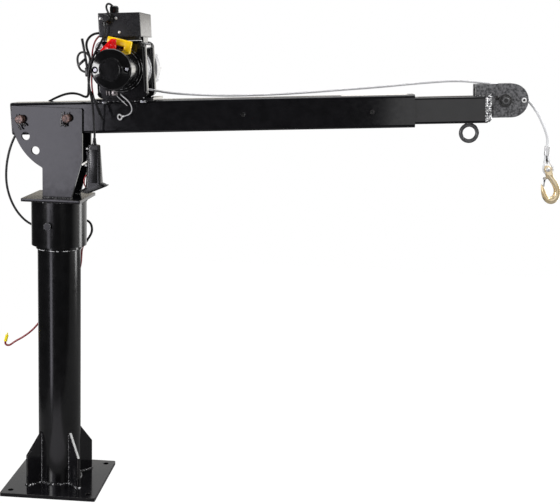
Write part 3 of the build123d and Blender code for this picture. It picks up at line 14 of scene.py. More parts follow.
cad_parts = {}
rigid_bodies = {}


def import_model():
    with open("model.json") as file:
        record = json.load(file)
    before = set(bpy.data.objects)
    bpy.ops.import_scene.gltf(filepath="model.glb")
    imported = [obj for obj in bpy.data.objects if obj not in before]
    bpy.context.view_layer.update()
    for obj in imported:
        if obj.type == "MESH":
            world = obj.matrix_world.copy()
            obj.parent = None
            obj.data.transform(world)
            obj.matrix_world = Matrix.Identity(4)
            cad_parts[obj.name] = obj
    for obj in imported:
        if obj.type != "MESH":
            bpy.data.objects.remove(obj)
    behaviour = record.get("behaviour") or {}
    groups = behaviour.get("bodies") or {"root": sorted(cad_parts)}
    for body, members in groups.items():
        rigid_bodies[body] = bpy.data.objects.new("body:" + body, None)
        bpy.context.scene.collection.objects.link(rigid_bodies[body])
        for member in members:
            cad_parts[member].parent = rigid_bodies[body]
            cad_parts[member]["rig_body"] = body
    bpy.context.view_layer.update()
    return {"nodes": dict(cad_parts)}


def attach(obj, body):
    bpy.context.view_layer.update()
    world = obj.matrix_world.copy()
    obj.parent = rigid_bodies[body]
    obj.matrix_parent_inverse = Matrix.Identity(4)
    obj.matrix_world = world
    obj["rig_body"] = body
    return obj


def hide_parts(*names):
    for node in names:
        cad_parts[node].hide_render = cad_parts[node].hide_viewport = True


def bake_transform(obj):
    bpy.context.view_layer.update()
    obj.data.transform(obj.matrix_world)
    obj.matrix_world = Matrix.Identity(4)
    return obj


LOG = logging.getLogger("crane")
MM = 0.001
# Merge distances are in metres, and the step along a weld bead is in millimetres.
MERGE_DISTANCE = 2e-6
SEAM_DISTANCE = 1e-6
FLAT_ANGLE = math.radians(0.4)
SMOOTH_ANGLE = math.radians(40.0)
BEAD_STEP = 0.7
BEAD_RIPPLE = 0.15
BEAD_DRIFT = 0.07
BEAD_DRIFT_PACE = 0.37
CURVE_STEPS = 8
WHITE = (1.0, 1.0, 1.0)
FRONT, BACK, UP = (Vector(axis).freeze() for axis in ((0.0, -1.0, 0.0), (0.0, 1.0, 0.0), (0.0, 0.0, 1.0)))
SIDES = ((-1.0, "near"), (1.0, "far"))
Pair = tuple[float, float]
Triple = tuple[float, float, float]
Profile = tuple[Pair, ...]
Route = tuple[Triple, ...]
Line = list[Vector]
Names = tuple[str, ...]
Socket = bpy.types.NodeSocket
Feed = dict[str | int, object]


class Body(Enum):
    """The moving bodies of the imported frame."""

    BASE = "base"
    TURRET = "turret"
    BOOM = "boom"
    DRUM = "drum"
    INNER_BOOM = "inner_boom"
    SHEAVE = "sheave"
    ROPE_END = "rope_end"
    HOOK = "hook"
    LATCH = "latch"
    CLUTCH = "clutch"
    ROCKER = "rocker"


class Slot(Enum):
    """The record's material slots."""

    BLACK_PAINT = "black_paint"
    CAST_PAINT = "cast_paint"
    MOTOR_PAINT = "motor_paint"
    BRIGHT_STEEL = "bright_steel"
    BROWN_STEEL = "brown_steel"
    DARK_STEEL = "dark_steel"
    GOLD_ZINC = "gold_zinc"
    ROPE_WIRE = "rope_wire"
    BRONZE = "bronze"
    WHITE_NYLON = "white_nylon"
    DRUM_PLATE = "drum_plate"
    BLACK_PLASTIC = "black_plastic"
    BLACK_RUBBER = "black_rubber"
    RED_RUBBER = "red_rubber"
    YELLOW_RUBBER = "yellow_rubber"


class FarEnd(Enum):
    """What a cord ends in."""

    BARE = "bare"
    CONNECTOR = "connector"
    FITTING = "fitting"
    OBJECT = "object"


class Lay(Enum):
    """How a cord lies."""

    HANGING = "hanging"
    COILED = "coiled"


class Stiffness(Enum):
    """How easily a cord bends."""

    MEDIUM = "medium"
    STIFF = "stiff"


@dataclass
class Graph:
    """A node tree, with short ways of adding linked nodes to it."""

    tree: bpy.types.NodeTree

    def feed(self, node: bpy.types.Node, inputs: Feed) -> None:
        """Set a node's inputs to values, or link them to sockets.

        Args:
            node: The node.
            inputs: Values or sockets, by the inputs' names or places.
        """
        for key, value in inputs.items():
            if isinstance(value, Socket):
                self.tree.links.new(value, node.inputs[key])
            else:
                node.inputs[key].default_value = value

    def add(self, kind: str, result: str, inputs: Feed | None = None, **settings: str) -> Socket:
        """Add a node.

        Args:
            kind: Its type, without the leading "ShaderNode".
            result: Name of the output that is wanted.
            inputs: What its inputs are fed.
            settings: The node's own settings.

        Returns:
            The output.
        """
        node = self.tree.nodes.new(f"ShaderNode{kind}")
        for key, value in settings.items():
            setattr(node, key, value)
        self.feed(node, inputs or {})
        return node.outputs[result]

    def math(self, operation: str, first: Socket, second: Socket | float) -> Socket:
        """Return the result of an operation on two numbers."""
        return self.add("Math", "Value", {0: first, 1: second}, operation=operation)

    def remap(self, value: Socket, source: Pair, target: Pair = (0.0, 1.0)) -> Socket:
        """Return a number moved from one range into another."""
        return self.add("MapRange", "Result", {"Value": value, "From Min": source[0], "From Max": source[1],
                                               "To Min": target[0], "To Max": target[1]})

    def noise(self, place: Socket, size: float, detail: float) -> Socket:
        """Return a noise with clouds of the given size in millimetres."""
        return self.add("TexNoise", "Fac", {"Vector": place, "Scale": 1.0 / (size * MM), "Detail": detail})

    def mix(self, share: Socket, first: Socket, second: Triple) -> Socket:
        """Return a colour between a first one and a second one."""
        colours = {"Factor": share, "A": first, "B": (*second, 1.0)}
        return self.add("Mix", "Result", colours, data_type="RGBA")

    def ramp(self, share: Socket, stops: list[tuple[float, Triple]]) -> Socket:
        """Return the colour at a place on a ramp.

        Args:
            share: The place, from 0 to 1.
            stops: The ramp's places and their colours, two or more, in order.

        Returns:
            The colour.
        """
        colour = self.add("ValToRGB", "Color", {"Fac": share})
        elements = colour.node.color_ramp.elements
        for element, (place, tone) in zip(elements, (stops[0], stops[-1])):
            element.position = place
            element.color = (*tone, 1.0)
        for place, tone in stops[1:-1]:
            elements.new(place).color = (*tone, 1.0)
        return colour


@dataclass(frozen=True)
class Finish:
    """A procedural finish: two mottled colours, a varied gloss, a fine grain and tinted edges.

    Sizes are in millimetres. The edge tint shows where a mesh carries the float attribute "edge"; it is wear
    on most finishes and painted light on some.
    """

    slot: Slot
    colour: Triple
    fleck: Triple
    mottle: float = 5.0
    roughness: float = 0.3
    spread: float = 0.06
    grain: float = 0.8
    depth: float = 0.01
    metallic: float = 0.0
    specular: float = 0.5
    # The edge tint: wear on most finishes, painted highlight or painted shade on the ones that say so.
    wear_and_painted_light: Triple = (0.05, 0.05, 0.052)
    wear_and_painted_light_share: float = 0.5
    ramp: Pair = (0.35, 0.68)
    wear_and_painted_light_patch: float = 7.0
    wear_and_painted_light_range: Pair = (0.42, 0.62)
    gloss_scale: float = 0.4
    gloss_range: Pair = (0.3, 0.7)
    least_roughness: float = 0.03

    def material(self, name: str) -> bpy.types.Material:
        """Build the node tree of this finish.

        Args:
            name: The material's name.

        Returns:
            The new material.
        """
        material = bpy.data.materials.new(name)
        material.use_nodes = True
        graph = Graph(material.node_tree)
        place = graph.add("TexCoord", "Object")
        cloud = graph.noise(place, self.mottle * self.gloss_scale, detail=4.0)
        glossiest = max(self.roughness - self.spread, self.least_roughness)
        dullest = min(self.roughness + self.spread, 1.0)
        grain = graph.noise(place, self.grain, detail=2.0)
        bump = graph.add("Bump", "Normal", {"Strength": 1.0, "Distance": self.depth * MM, "Height": grain})
        graph.feed(material.node_tree.nodes["Principled BSDF"], {
            "Base Color": self._colour(graph, place), "Metallic": self.metallic,
            "Roughness": graph.remap(cloud, self.gloss_range, (glossiest, dullest)),
            "Specular IOR Level": self.specular, "Normal": bump})
        return material

    def _colour(self, graph: Graph, place: Socket) -> Socket:
        """Return the two mottled colours, with the edge tint along softened edges: wear, and painted light
        on some finishes.

        Args:
            graph: The material's nodes.
            place: The coordinates that it reads.

        Returns:
            The colour.
        """
        cloud = graph.noise(place, self.mottle, detail=5.0)
        paint = graph.ramp(cloud, [(self.ramp[0], self.colour), (self.ramp[1], self.fleck)])
        # Patchy share of the edge tint, which is wear, and painted light on some finishes.
        wear_and_painted_light_mask = graph.remap(graph.noise(place, self.wear_and_painted_light_patch, detail=3.0), self.wear_and_painted_light_range, (0.0, self.wear_and_painted_light_share))
        share = graph.math("MULTIPLY", graph.add("Attribute", "Fac", attribute_name="edge"), wear_and_painted_light_mask)
        return graph.mix(share, paint, self.wear_and_painted_light)


class Coat(Enum):
    """The crane's finishes, each the material of its own name."""

    SATIN_BLACK = Finish(Slot.BLACK_PAINT, (0.0045, 0.0044, 0.0052), (0.0075, 0.0073, 0.0085), mottle=22.0,
                         roughness=0.11, spread=0.03, grain=1.1, depth=0.004, wear_and_painted_light=(0.075, 0.068, 0.06),
                         wear_and_painted_light_share=0.6)
    GLOSS_BLACK = Finish(Slot.BLACK_PAINT, (0.0028, 0.0028, 0.0031), (0.0046, 0.0046, 0.0050), mottle=30.0,
                         roughness=0.18, spread=0.03, grain=1.4, depth=0.008, wear_and_painted_light=(0.09, 0.075, 0.05))
    BOX_CHARCOAL = Finish(Slot.BLACK_PAINT, (0.012, 0.012, 0.0135), (0.018, 0.018, 0.0195), mottle=16.0,
                          roughness=0.2, spread=0.03, grain=0.9, depth=0.004, wear_and_painted_light_share=0.3)
    # Its light rounded edges are wear together with a painted highlight along the cheeks' rims.
    CAST_CHARCOAL = Finish(Slot.CAST_PAINT, (0.024, 0.024, 0.026), (0.165, 0.165, 0.172), mottle=4.6,
                           roughness=0.38, spread=0.12, grain=1.8, depth=0.45, wear_and_painted_light=(0.32, 0.32, 0.32),
                           wear_and_painted_light_share=0.9)
    GEAR_SILVER = Finish(Slot.CAST_PAINT, (0.68, 0.68, 0.69), (0.78, 0.78, 0.79), mottle=6.0, metallic=0.4,
                         roughness=0.36, spread=0.08, grain=1.4, depth=0.03, wear_and_painted_light=(0.85, 0.85, 0.85))
    # Its light rounded edges are a painted highlight, such as the thin bright ring lines on the motor's end
    # cap.
    MOTOR_GLOSS = Finish(Slot.MOTOR_PAINT, (0.0035, 0.0035, 0.0038), (0.0055, 0.0055, 0.006), mottle=25.0,
                         roughness=0.11, spread=0.02, grain=3.0, depth=0.004, wear_and_painted_light=(0.36, 0.36, 0.37),
                         wear_and_painted_light_share=0.9)
    # The white flecks on these black weld beads are painted glints of their ripples.
    WELD_BLACK = Finish(Slot.BLACK_PAINT, (0.005, 0.005, 0.0055), (0.75, 0.75, 0.76), mottle=4.5,
                        roughness=0.16, spread=0.05, grain=1.2, depth=0.06, specular=0.8, ramp=(0.56, 0.66))
    # The dim grey flecks on these weld beads are faint painted glints.
    WELD_DIM = Finish(Slot.BLACK_PAINT, (0.005, 0.005, 0.0055), (0.11, 0.11, 0.112), roughness=0.16,
                      spread=0.05, grain=1.2, depth=0.06, specular=0.7, ramp=(0.52, 0.68))
    # The white flecks along the collar lip's edge are painted glints, a bright broken line.
    BROKEN_EDGE = Finish(Slot.BLACK_PAINT, (0.004, 0.004, 0.0044), (0.85, 0.85, 0.85), mottle=11.0,
                         roughness=0.2, spread=0.05, grain=1.2, depth=0.02, ramp=(0.5, 0.56))
    DULL_NICKEL = Finish(Slot.BRIGHT_STEEL, (0.17, 0.15, 0.15), (0.36, 0.32, 0.32), mottle=4.0, metallic=0.4,
                         spread=0.08, depth=0.03, wear_and_painted_light=(0.8, 0.78, 0.78), wear_and_painted_light_share=0.9)
    TIN_PLATE = Finish(Slot.BRIGHT_STEEL, (0.72, 0.72, 0.73), (0.84, 0.83, 0.82), mottle=4.0, metallic=0.5,
                       spread=0.08, grain=0.5, wear_and_painted_light=(0.9, 0.9, 0.9))
    BRIGHT_ZINC = Finish(Slot.BRIGHT_STEEL, (0.70, 0.70, 0.72), (0.56, 0.57, 0.60), metallic=1.0,
                         roughness=0.24, spread=0.08, grain=0.5, depth=0.006, wear_and_painted_light=(0.8, 0.8, 0.8))
    WELD_SILVER = Finish(Slot.BRIGHT_STEEL, (0.10, 0.10, 0.105), (0.92, 0.92, 0.93), mottle=4.5,
                         metallic=0.5, roughness=0.2, spread=0.1, grain=1.4, depth=0.12, ramp=(0.44, 0.56))
    DULL_ZINC = Finish(Slot.BRIGHT_STEEL, (0.07, 0.07, 0.072), (0.17, 0.165, 0.16), mottle=4.0, metallic=1.0,
                       roughness=0.34, spread=0.1, grain=0.5)
    RUSTY_PIN = Finish(Slot.BROWN_STEEL, (0.014, 0.008, 0.007), (0.20, 0.12, 0.10), metallic=0.35,
                       spread=0.14, depth=0.03, wear_and_painted_light=(0.05, 0.035, 0.03), wear_and_painted_light_share=0.9)
    BLACK_OXIDE = Finish(Slot.DARK_STEEL, (0.028, 0.028, 0.030), (0.06, 0.058, 0.056), metallic=0.6,
                         roughness=0.34, spread=0.1, grain=0.7, depth=0.015, wear_and_painted_light=(0.2, 0.2, 0.2), wear_and_painted_light_share=0.7)
    EYE_SATIN = Finish(Slot.DARK_STEEL, (0.055, 0.055, 0.057), (0.11, 0.11, 0.113), mottle=6.0,
                       roughness=0.22, depth=0.012, wear_and_painted_light=(0.1, 0.1, 0.1))
    GOLD_ZINC = Finish(Slot.GOLD_ZINC, (0.80, 0.61, 0.33), (0.92, 0.78, 0.54), mottle=26.0, metallic=0.5,
                       roughness=0.22, spread=0.04, grain=2.0, depth=0.003, wear_and_painted_light=(0.95, 0.88, 0.72),
                       wear_and_painted_light_share=0.6)
    # The bow's gold, whose dark edge tint is painted shade on the faces turned left and down.
    GOLD_FORGED = replace(GOLD_ZINC, wear_and_painted_light=(0.16, 0.125, 0.05), wear_and_painted_light_share=0.95)
    ROPE_WIRE = Finish(Slot.ROPE_WIRE, (0.66, 0.66, 0.67), (0.84, 0.84, 0.85), mottle=2.5, metallic=0.3,
                       roughness=0.34, spread=0.1, grain=0.35, depth=0.03)
    ROPE_SLEEVE = Finish(Slot.ROPE_WIRE, (0.74, 0.75, 0.76), (0.80, 0.80, 0.81), mottle=3.0, roughness=0.22,
                         spread=0.04, grain=1.5, depth=0.02)
    BRONZE = Finish(Slot.BRONZE, (0.45, 0.27, 0.11), (0.54, 0.35, 0.16), metallic=1.0, roughness=0.35,
                    spread=0.1, grain=0.6)
    WHITE_NYLON = Finish(Slot.WHITE_NYLON, (0.72, 0.70, 0.65), (0.78, 0.77, 0.73), mottle=8.0,
                         roughness=0.42)
    DRUM_PLATE = Finish(Slot.DRUM_PLATE, (0.60, 0.60, 0.61), (0.74, 0.74, 0.75), mottle=6.0, metallic=0.5,
                        spread=0.1, grain=0.6, depth=0.012, wear_and_painted_light=(0.8, 0.8, 0.8))
    BLACK_PLASTIC = Finish(Slot.BLACK_PLASTIC, (0.006, 0.006, 0.0065), (0.010, 0.010, 0.0105), mottle=10.0,
                           roughness=0.28, spread=0.04, depth=0.006, wear_and_painted_light=(0.03, 0.03, 0.03))
    CABLE_JACKET = Finish(Slot.BLACK_RUBBER, (0.008, 0.008, 0.0085), (0.013, 0.013, 0.0135), mottle=8.0,
                          roughness=0.38, grain=0.6, depth=0.012)
    RED_VINYL = Finish(Slot.RED_RUBBER, (0.48, 0.002, 0.003), (0.86, 0.006, 0.008), mottle=7.0,
                       roughness=0.09, spread=0.03, grain=7.0, depth=1.3, specular=0.45,
                       wear_and_painted_light=(0.8, 0.12, 0.08))
    LEAD_RED = Finish(Slot.RED_RUBBER, (0.19, 0.004, 0.007), (0.27, 0.008, 0.012), mottle=8.0)
    DARK_RED_WIRE = Finish(Slot.RED_RUBBER, (0.20, 0.012, 0.018), (0.30, 0.03, 0.04), mottle=8.0)
    YELLOW_VINYL = Finish(Slot.YELLOW_RUBBER, (0.96, 0.57, 0.002), (1.0, 0.66, 0.006), mottle=8.0,
                          roughness=0.2, grain=4.0, depth=0.12, specular=0.3, wear_and_painted_light=(0.95, 0.72, 0.15))
    CRIMP_YELLOW = Finish(Slot.YELLOW_RUBBER, (0.82, 0.66, 0.01), (0.90, 0.76, 0.02), roughness=0.26,
                          depth=0.02, specular=0.3)
    PALE_SHEATH = Finish(Slot.WHITE_NYLON, (0.42, 0.42, 0.43), (0.56, 0.56, 0.57), roughness=0.26, grain=0.6)

    @property
    def material_name(self) -> str:
        """Name of the finish's material."""
        return self.name.lower()


@dataclass(frozen=True)
class BoomFrame:
    """The boom's own axes: s along it from its pivot, n above its axis, y across it, in millimetres."""

    pivot_x: float = 36.0
    pivot_z: float = 979.0
    tilt: float = math.radians(3.5)

    def way(self, s: float, n: float = 0.0) -> Vector:
        """Return a step along the boom and up from it, in metres of the crane's frame."""
        along, up = math.cos(self.tilt), math.sin(self.tilt)
        return Vector((along * s - up * n, 0.0, up * s + along * n)) * MM

    def point(self, s: float, n: float, y: float = 0.0) -> Vector:
        """Return a point of the boom, in metres of the crane's frame."""
        return Vector((self.pivot_x, y, self.pivot_z)) * MM + self.way(s, n)

    def points(self, route: Route) -> Line:
        """Return the points of a route that is given in the boom's axes."""
        return [self.point(*place) for place in route]

    def matrix(self, s: float, n: float, y: float = 0.0) -> Matrix:
        """Return the placement, in metres, with X along the boom, Y across it and Z up from it."""
        return Matrix.Translation(self.point(s, n, y)) @ Matrix.Rotation(-self.tilt, 4, "Y")


BOOM = BoomFrame()


def world_points(route: Route) -> Line:
    """Return the points, in metres, of a route given in millimetres of the crane's frame."""
    return [Vector(place) * MM for place in route]


def clamp(value: float) -> float:
    """Return a number kept between 0 and 1."""
    return min(max(value, 0.0), 1.0)


def linked(name: str, data: bpy.types.ID) -> bpy.types.Object:
    """Show a mesh, a curve, a lamp or a camera in the scene.

    Args:
        name: The object's name.
        data: What it shows.

    Returns:
        The new object.
    """
    thing = bpy.data.objects.new(name, data)
    bpy.context.scene.collection.objects.link(thing)
    return thing


def curve_of(name: str, lines: list[Line], kind: str = "NURBS", radius: float = 0.0,
             roundness: int = 3) -> bpy.types.Curve:
    """Make round curves along lines.

    Args:
        name: The curve's name.
        lines: The control points of each, in metres.
        kind: The kind of spline.
        radius: Radius in millimetres, or 0 for bare lines.
        roundness: Bevel resolution.

    Returns:
        The curve.
    """
    curve = bpy.data.curves.new(name, "CURVE")
    curve.dimensions = "3D"
    curve.resolution_u = CURVE_STEPS
    curve.bevel_depth = radius * MM
    curve.bevel_resolution = roundness
    curve.use_fill_caps = True
    for line in lines:
        spline = curve.splines.new(kind)
        spline.points.add(len(line) - 1)
        for knot, point in zip(spline.points, line):
            knot.co = (*point, 1.0)
        spline.order_u = 3
        spline.use_endpoint_u = True
    return curve


def mesh_of(curve: bpy.types.Curve) -> bpy.types.Mesh:
    """Return a curve as a smooth mesh, and remove the curve.

    Args:
        curve: The curve.

    Returns:
        The mesh, which has the curve's name.
    """
    holder = bpy.data.objects.new(curve.name, curve)
    mesh = bpy.data.meshes.new_from_object(holder)
    mesh.name = curve.name
    bpy.data.objects.remove(holder)
    bpy.data.curves.remove(curve)
    mesh.shade_smooth()
    return mesh


def line_of(points: Line, steps: int = CURVE_STEPS) -> Line:
    """Return the points of a cord's smooth line.

    Args:
        points: The route, in metres.
        steps: How many points it has for each of the route's.

    Returns:
        The points along the line, in metres.
    """
    curve = curve_of("line", [points])
    curve.resolution_u = steps
    mesh = mesh_of(curve)
    found = [vertex.co.copy() for vertex in mesh.vertices]
    bpy.data.meshes.remove(mesh)
    return found


def tube_mesh(name: str, lines: list[Line], radius: float, roundness: int = 2, closed: bool = False,
              swell: list[float] | None = None) -> bpy.types.Mesh:
    """Make round tubes along lines.

    Args:
        name: The mesh's name.
        lines: The lines, in metres.
        radius: Radius of the tubes in millimetres.
        roundness: Bevel resolution of the tubes.
        closed: Whether each line is a closed loop.
        swell: Factors of the radius at each point of every line.

    Returns:
        The mesh.
    """
    curve = curve_of(name, lines, "POLY", radius, roundness)
    for spline in curve.splines:
        spline.use_cyclic_u = closed
        for knot, factor in zip(spline.points, swell or ()):
            knot.radius = factor
    return mesh_of(curve)


def straight(start: Vector, end: Vector) -> Line:
    """Return the points of a straight weld bead, in metres."""
    count = max(round((end - start).length / (BEAD_STEP * MM)), 2)
    return [start.lerp(end, index / count) for index in range(count + 1)]


def level_ring(radius: float, height: float) -> Line:
    """Return the points of a weld bead round the column's axis.

    Args:
        radius: Radius of the bead's ring in millimetres.
        height: Its height above the floor in millimetres.

    Returns:
        The points, in metres.
    """
    count = round(2 * math.pi * radius / BEAD_STEP)
    return [Matrix.Rotation(2 * math.pi * index / count, 3, "Z") @ Vector((radius, 0.0, height)) * MM
            for index in range(count)]


def facing(place: Vector, axis: Vector) -> Matrix:
    """Return the placement at a point, in metres, with its Z along an axis."""
    return Matrix.Translation(place) @ axis.to_track_quat("Z", "Y").to_matrix().to_4x4()


def lathe(profile: Profile, place: Matrix, steps: int = 24) -> bmesh.types.BMesh:
    """Turn a profile about the Z of a placement.

    Args:
        profile: Radii and heights in millimetres.
        place: The placement, in metres.
        steps: How many faces go round.

    Returns:
        The turned shape.
    """
    shape = bmesh.new()
    verts = [shape.verts.new((radius * MM, 0.0, height * MM)) for radius, height in profile]
    edges = [shape.edges.new(pair) for pair in zip(verts, verts[1:])]
    bmesh.ops.spin(shape, geom=verts + edges, cent=(0.0, 0.0, 0.0), axis=UP, angle=2 * math.pi, steps=steps,
                   use_merge=True)
    bmesh.ops.remove_doubles(shape, verts=shape.verts, dist=SEAM_DISTANCE)
    bmesh.ops.recalc_face_normals(shape, faces=shape.faces)
    bmesh.ops.transform(shape, matrix=place, verts=shape.verts)
    return shape


def ring_at(centre: Vector, wide: Vector, deep: Vector) -> Matrix:
    """Return the placement of a loft's ring from its middle and its two half widths, in metres."""
    columns = Matrix((wide, deep, wide.cross(deep).normalized())).transposed().to_4x4()
    return Matrix.Translation(centre) @ columns


def square_reach(across: float, deep: float, squareness: float) -> float:
    """Return the factor that takes a point of a round ring of radius 1 onto a squared one."""
    return (abs(across) ** squareness + abs(deep) ** squareness) ** (-1.0 / squareness)


def loft(rings: list[Matrix], squareness: float, segments: int) -> bmesh.types.BMesh:
    """Bridge rings into one closed skin.

    Args:
        rings: Placements whose X and Y columns are the half widths of each ring.
        squareness: 2 for ellipses, more for squarer rings.
        segments: How many faces go round.

    Returns:
        The closed shape.
    """
    shape = bmesh.new()
    loops = []
    for ring in rings:
        made = bmesh.ops.create_circle(shape, cap_ends=False, radius=1.0, segments=segments)["verts"]
        loops.append(list(dict.fromkeys(edge for vert in made for edge in vert.link_edges)))
        for vert in made:
            reach = square_reach(vert.co.x, vert.co.y, squareness)
            vert.co = ring @ Vector((vert.co.x * reach, vert.co.y * reach, 0.0))
    for before, after in zip(loops, loops[1:]):
        bmesh.ops.bridge_loops(shape, edges=before + after)
    bmesh.ops.holes_fill(shape, edges=loops[0] + loops[-1], sides=0)
    bmesh.ops.recalc_face_normals(shape, faces=shape.faces)
    return shape


def round_edges(shape: bmesh.types.BMesh, edges: list[bmesh.types.BMEdge], width: float, segments: int = 2,
                within: bool = True) -> list[bmesh.types.BMFace]:
    """Round edges of a shape.

    Args:
        shape: The shape.
        edges: Its edges that are rounded.
        width: Width of the rounding in millimetres.
        segments: How many faces go over a round.
        within: Whether the width gives way where rounds would meet.

    Returns:
        The faces of the rounds.
    """
    return bmesh.ops.bevel(shape, geom=edges, offset=width * MM, offset_type="OFFSET", affect="EDGES",
                           segments=segments, profile=0.5, material=-1, clamp_overlap=within)["faces"]


def block(start: Vector, end: Vector, wide: Vector, deep: Vector, rounding: float) -> bmesh.types.BMesh:
    """Make a bar with rounded edges between two points.

    Args:
        start: Middle of one end, in metres.
        end: Middle of the other end.
        wide: Half its width, as a vector in metres.
        deep: Half its depth, as a vector in metres.
        rounding: Width of the rounded edges in millimetres.

    Returns:
        The bar.
    """
    columns = Matrix(((end - start) / 2, wide, deep)).transposed().to_4x4()
    shape = bmesh.new()
    bmesh.ops.create_cube(shape, size=2.0, matrix=Matrix.Translation((start + end) / 2) @ columns)
    round_edges(shape, shape.edges[:], rounding)
    bmesh.ops.recalc_face_normals(shape, faces=shape.faces)
    return shape


def flat_bar(start: Vector, end: Vector, half: float, thick: float, rounding: float) -> bmesh.types.BMesh:
    """Make a bar that lies flat to the front.

    Args:
        start: Middle of one end, in metres.
        end: Middle of the other end.
        half: Half its width in millimetres.
        thick: Half its thickness in millimetres.
        rounding: Width of the rounded edges in millimetres.

    Returns:
        The bar.
    """
    return block(start, end, (end - start).cross(BACK).normalized() * half * MM, BACK * thick * MM, rounding)


@dataclass
class Workshop:
    """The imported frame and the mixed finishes, with the ways of turning them into pieces."""

    nodes: dict[str, bpy.types.Object]
    paints: dict[Coat, bpy.types.Material] = field(default_factory=dict)

    def paint(self, thing: bpy.types.Object, coat: Coat) -> None:
        """Give a piece or a CAD node its finish, whose material is made on its first use.

        Args:
            thing: The piece or node.
            coat: Its finish.
        """
        if coat not in self.paints:
            self.paints[coat] = coat.value.material(coat.material_name)
        thing.data.materials.clear()
        thing.data.materials.append(self.paints[coat])
        LOG.info("%s in %s", thing.name, coat.material_name)

    def label(self, stands_for: Names) -> None:
        """Hide the nodes that a piece stands for.

        Args:
            stands_for: The CAD nodes that it replaces.
        """
        if stands_for:
            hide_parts(*stands_for)

    def put(self, name: str, data: bpy.types.ID, body: Body, coat: Coat,
            stands_for: Names = ()) -> bpy.types.Object:
        """Make a piece of a mesh or a curve, and put it on its body.

        Args:
            name: The piece's name.
            data: Its mesh or curve.
            body: The body that it moves with.
            coat: Its finish.
            stands_for: The CAD nodes that it replaces.

        Returns:
            The piece.
        """
        piece = linked(name, data)
        self.paint(piece, coat)
        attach(piece, body.value)
        self.label(stands_for)
        return piece

    def add(self, name: str, shape: bmesh.types.BMesh, coat: Coat, body: Body = Body.BOOM,
            stands_for: Names = ()) -> bpy.types.Object:
        """Make a piece of a bmesh, and put it on its body.

        Args:
            name: The piece's name.
            shape: Its mesh, which is freed.
            coat: Its finish.
            body: The body that it moves with.
            stands_for: The CAD nodes that it replaces.

        Returns:
            The piece.
        """
        mesh = bpy.data.meshes.new(name)
        shape.to_mesh(mesh)
        shape.free()
        mesh.shade_smooth()
        mesh.set_sharp_from_angle(angle=SMOOTH_ANGLE)
        return self.put(name, mesh, body, coat, stands_for)

    def copy_of(self, node: str, flatten: bool = False) -> bmesh.types.BMesh:
        """Return a copy of a CAD node's mesh with its points merged.

        Args:
            node: The node's name.
            flatten: Whether faces that lie in one plane are joined.

        Returns:
            The copy.
        """
        shape = bmesh.new()
        shape.from_mesh(self.nodes[node].data)
        bmesh.ops.remove_doubles(shape, verts=shape.verts, dist=MERGE_DISTANCE)
        if flatten:
            bmesh.ops.dissolve_limit(shape, angle_limit=FLAT_ANGLE, verts=shape.verts, edges=shape.edges)
        return shape

    def stand_in(self, node: str, shape: bmesh.types.BMesh, coat: Coat) -> bpy.types.Object:
        """Replace a CAD node by a changed copy on the same body."""
        return self.add(f"{node}_dressed", shape, coat, Body(self.nodes[node]["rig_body"]), (node,))

    def soften(self, coat: Coat, limit: float = math.radians(33.0), **widths: float) -> None:
        """Replace CAD nodes by copies with rounded edges, whose rounds carry the attribute "edge".

        Args:
            coat: Their finish.
            limit: Least angle of an edge that is rounded.
            widths: Width of the rounding in millimetres, by the nodes' names.
        """
        for node, width in widths.items():
            shape = self.copy_of(node, flatten=True)
            wear_and_painted_light = shape.faces.layers.float.new("edge")
            sharp = [edge for edge in shape.edges
                     if len(edge.link_faces) == 2 and edge.calc_face_angle(0.0) > limit]
            for face in round_edges(shape, sharp, width):
                face[wear_and_painted_light] = 1.0
            self.steady(self.stand_in(node, shape, coat))

    @staticmethod
    def steady(piece: bpy.types.Object) -> None:
        """Keep the shading of a piece's flat faces flat beside their rounds."""
        piece.modifiers.new("flat_faces", "WEIGHTED_NORMAL").keep_sharp = True

    def thin(self, node: str, coat: Coat, amount: float) -> None:
        """Replace a CAD node of round wire by a copy with thinner wire.

        Args:
            node: The node's name.
            coat: Its finish.
            amount: How far its surface is drawn in, in millimetres.
        """
        shape = self.copy_of(node)
        shape.normal_update()
        for vert in shape.verts:
            vert.co -= vert.normal * amount * MM
        self.stand_in(node, shape, coat)

    def bead(self, name: str, lines: list[Line], radius: float, body: Body, coat: Coat, closed: bool = False,
             ripple: float = 3.4) -> None:
        """Lay rippled weld beads along lines.

        Args:
            name: The piece's name.
            lines: The beads' points, in metres.
            radius: Radius of the beads in millimetres.
            body: The body that they are on.
            coat: Their finish.
            closed: Whether each line is a closed loop.
            ripple: Length of a ripple in millimetres.
        """
        swell = []
        for index in range(max(len(line) for line in lines)):
            wave = math.sin(2 * math.pi * index * BEAD_STEP / ripple)
            swell.append(1.0 + BEAD_RIPPLE * wave + BEAD_DRIFT * math.sin(index * BEAD_DRIFT_PACE))
        mesh = tube_mesh(name, lines, radius, roundness=1, closed=closed, swell=swell)
        self.put(name, mesh, body, coat)

    def turned(self, name: str, profile: Profile, place: Triple, coat: Coat, axis: Vector = FRONT,
               steps: int = 24, body: Body = Body.BOOM, stands_for: Names = ()) -> None:
        """Add a turned piece at a point of the boom.

        Args:
            name: The piece's name.
            profile: Radii and heights in millimetres.
            place: The point, in the boom's axes.
            coat: Its finish.
            axis: The direction of the heights.
            steps: How many faces go round.
            body: The body that it moves with.
            stands_for: The CAD nodes that it replaces.
        """
        self.add(name, lathe(profile, facing(BOOM.point(*place), axis), steps), coat, body, stands_for)


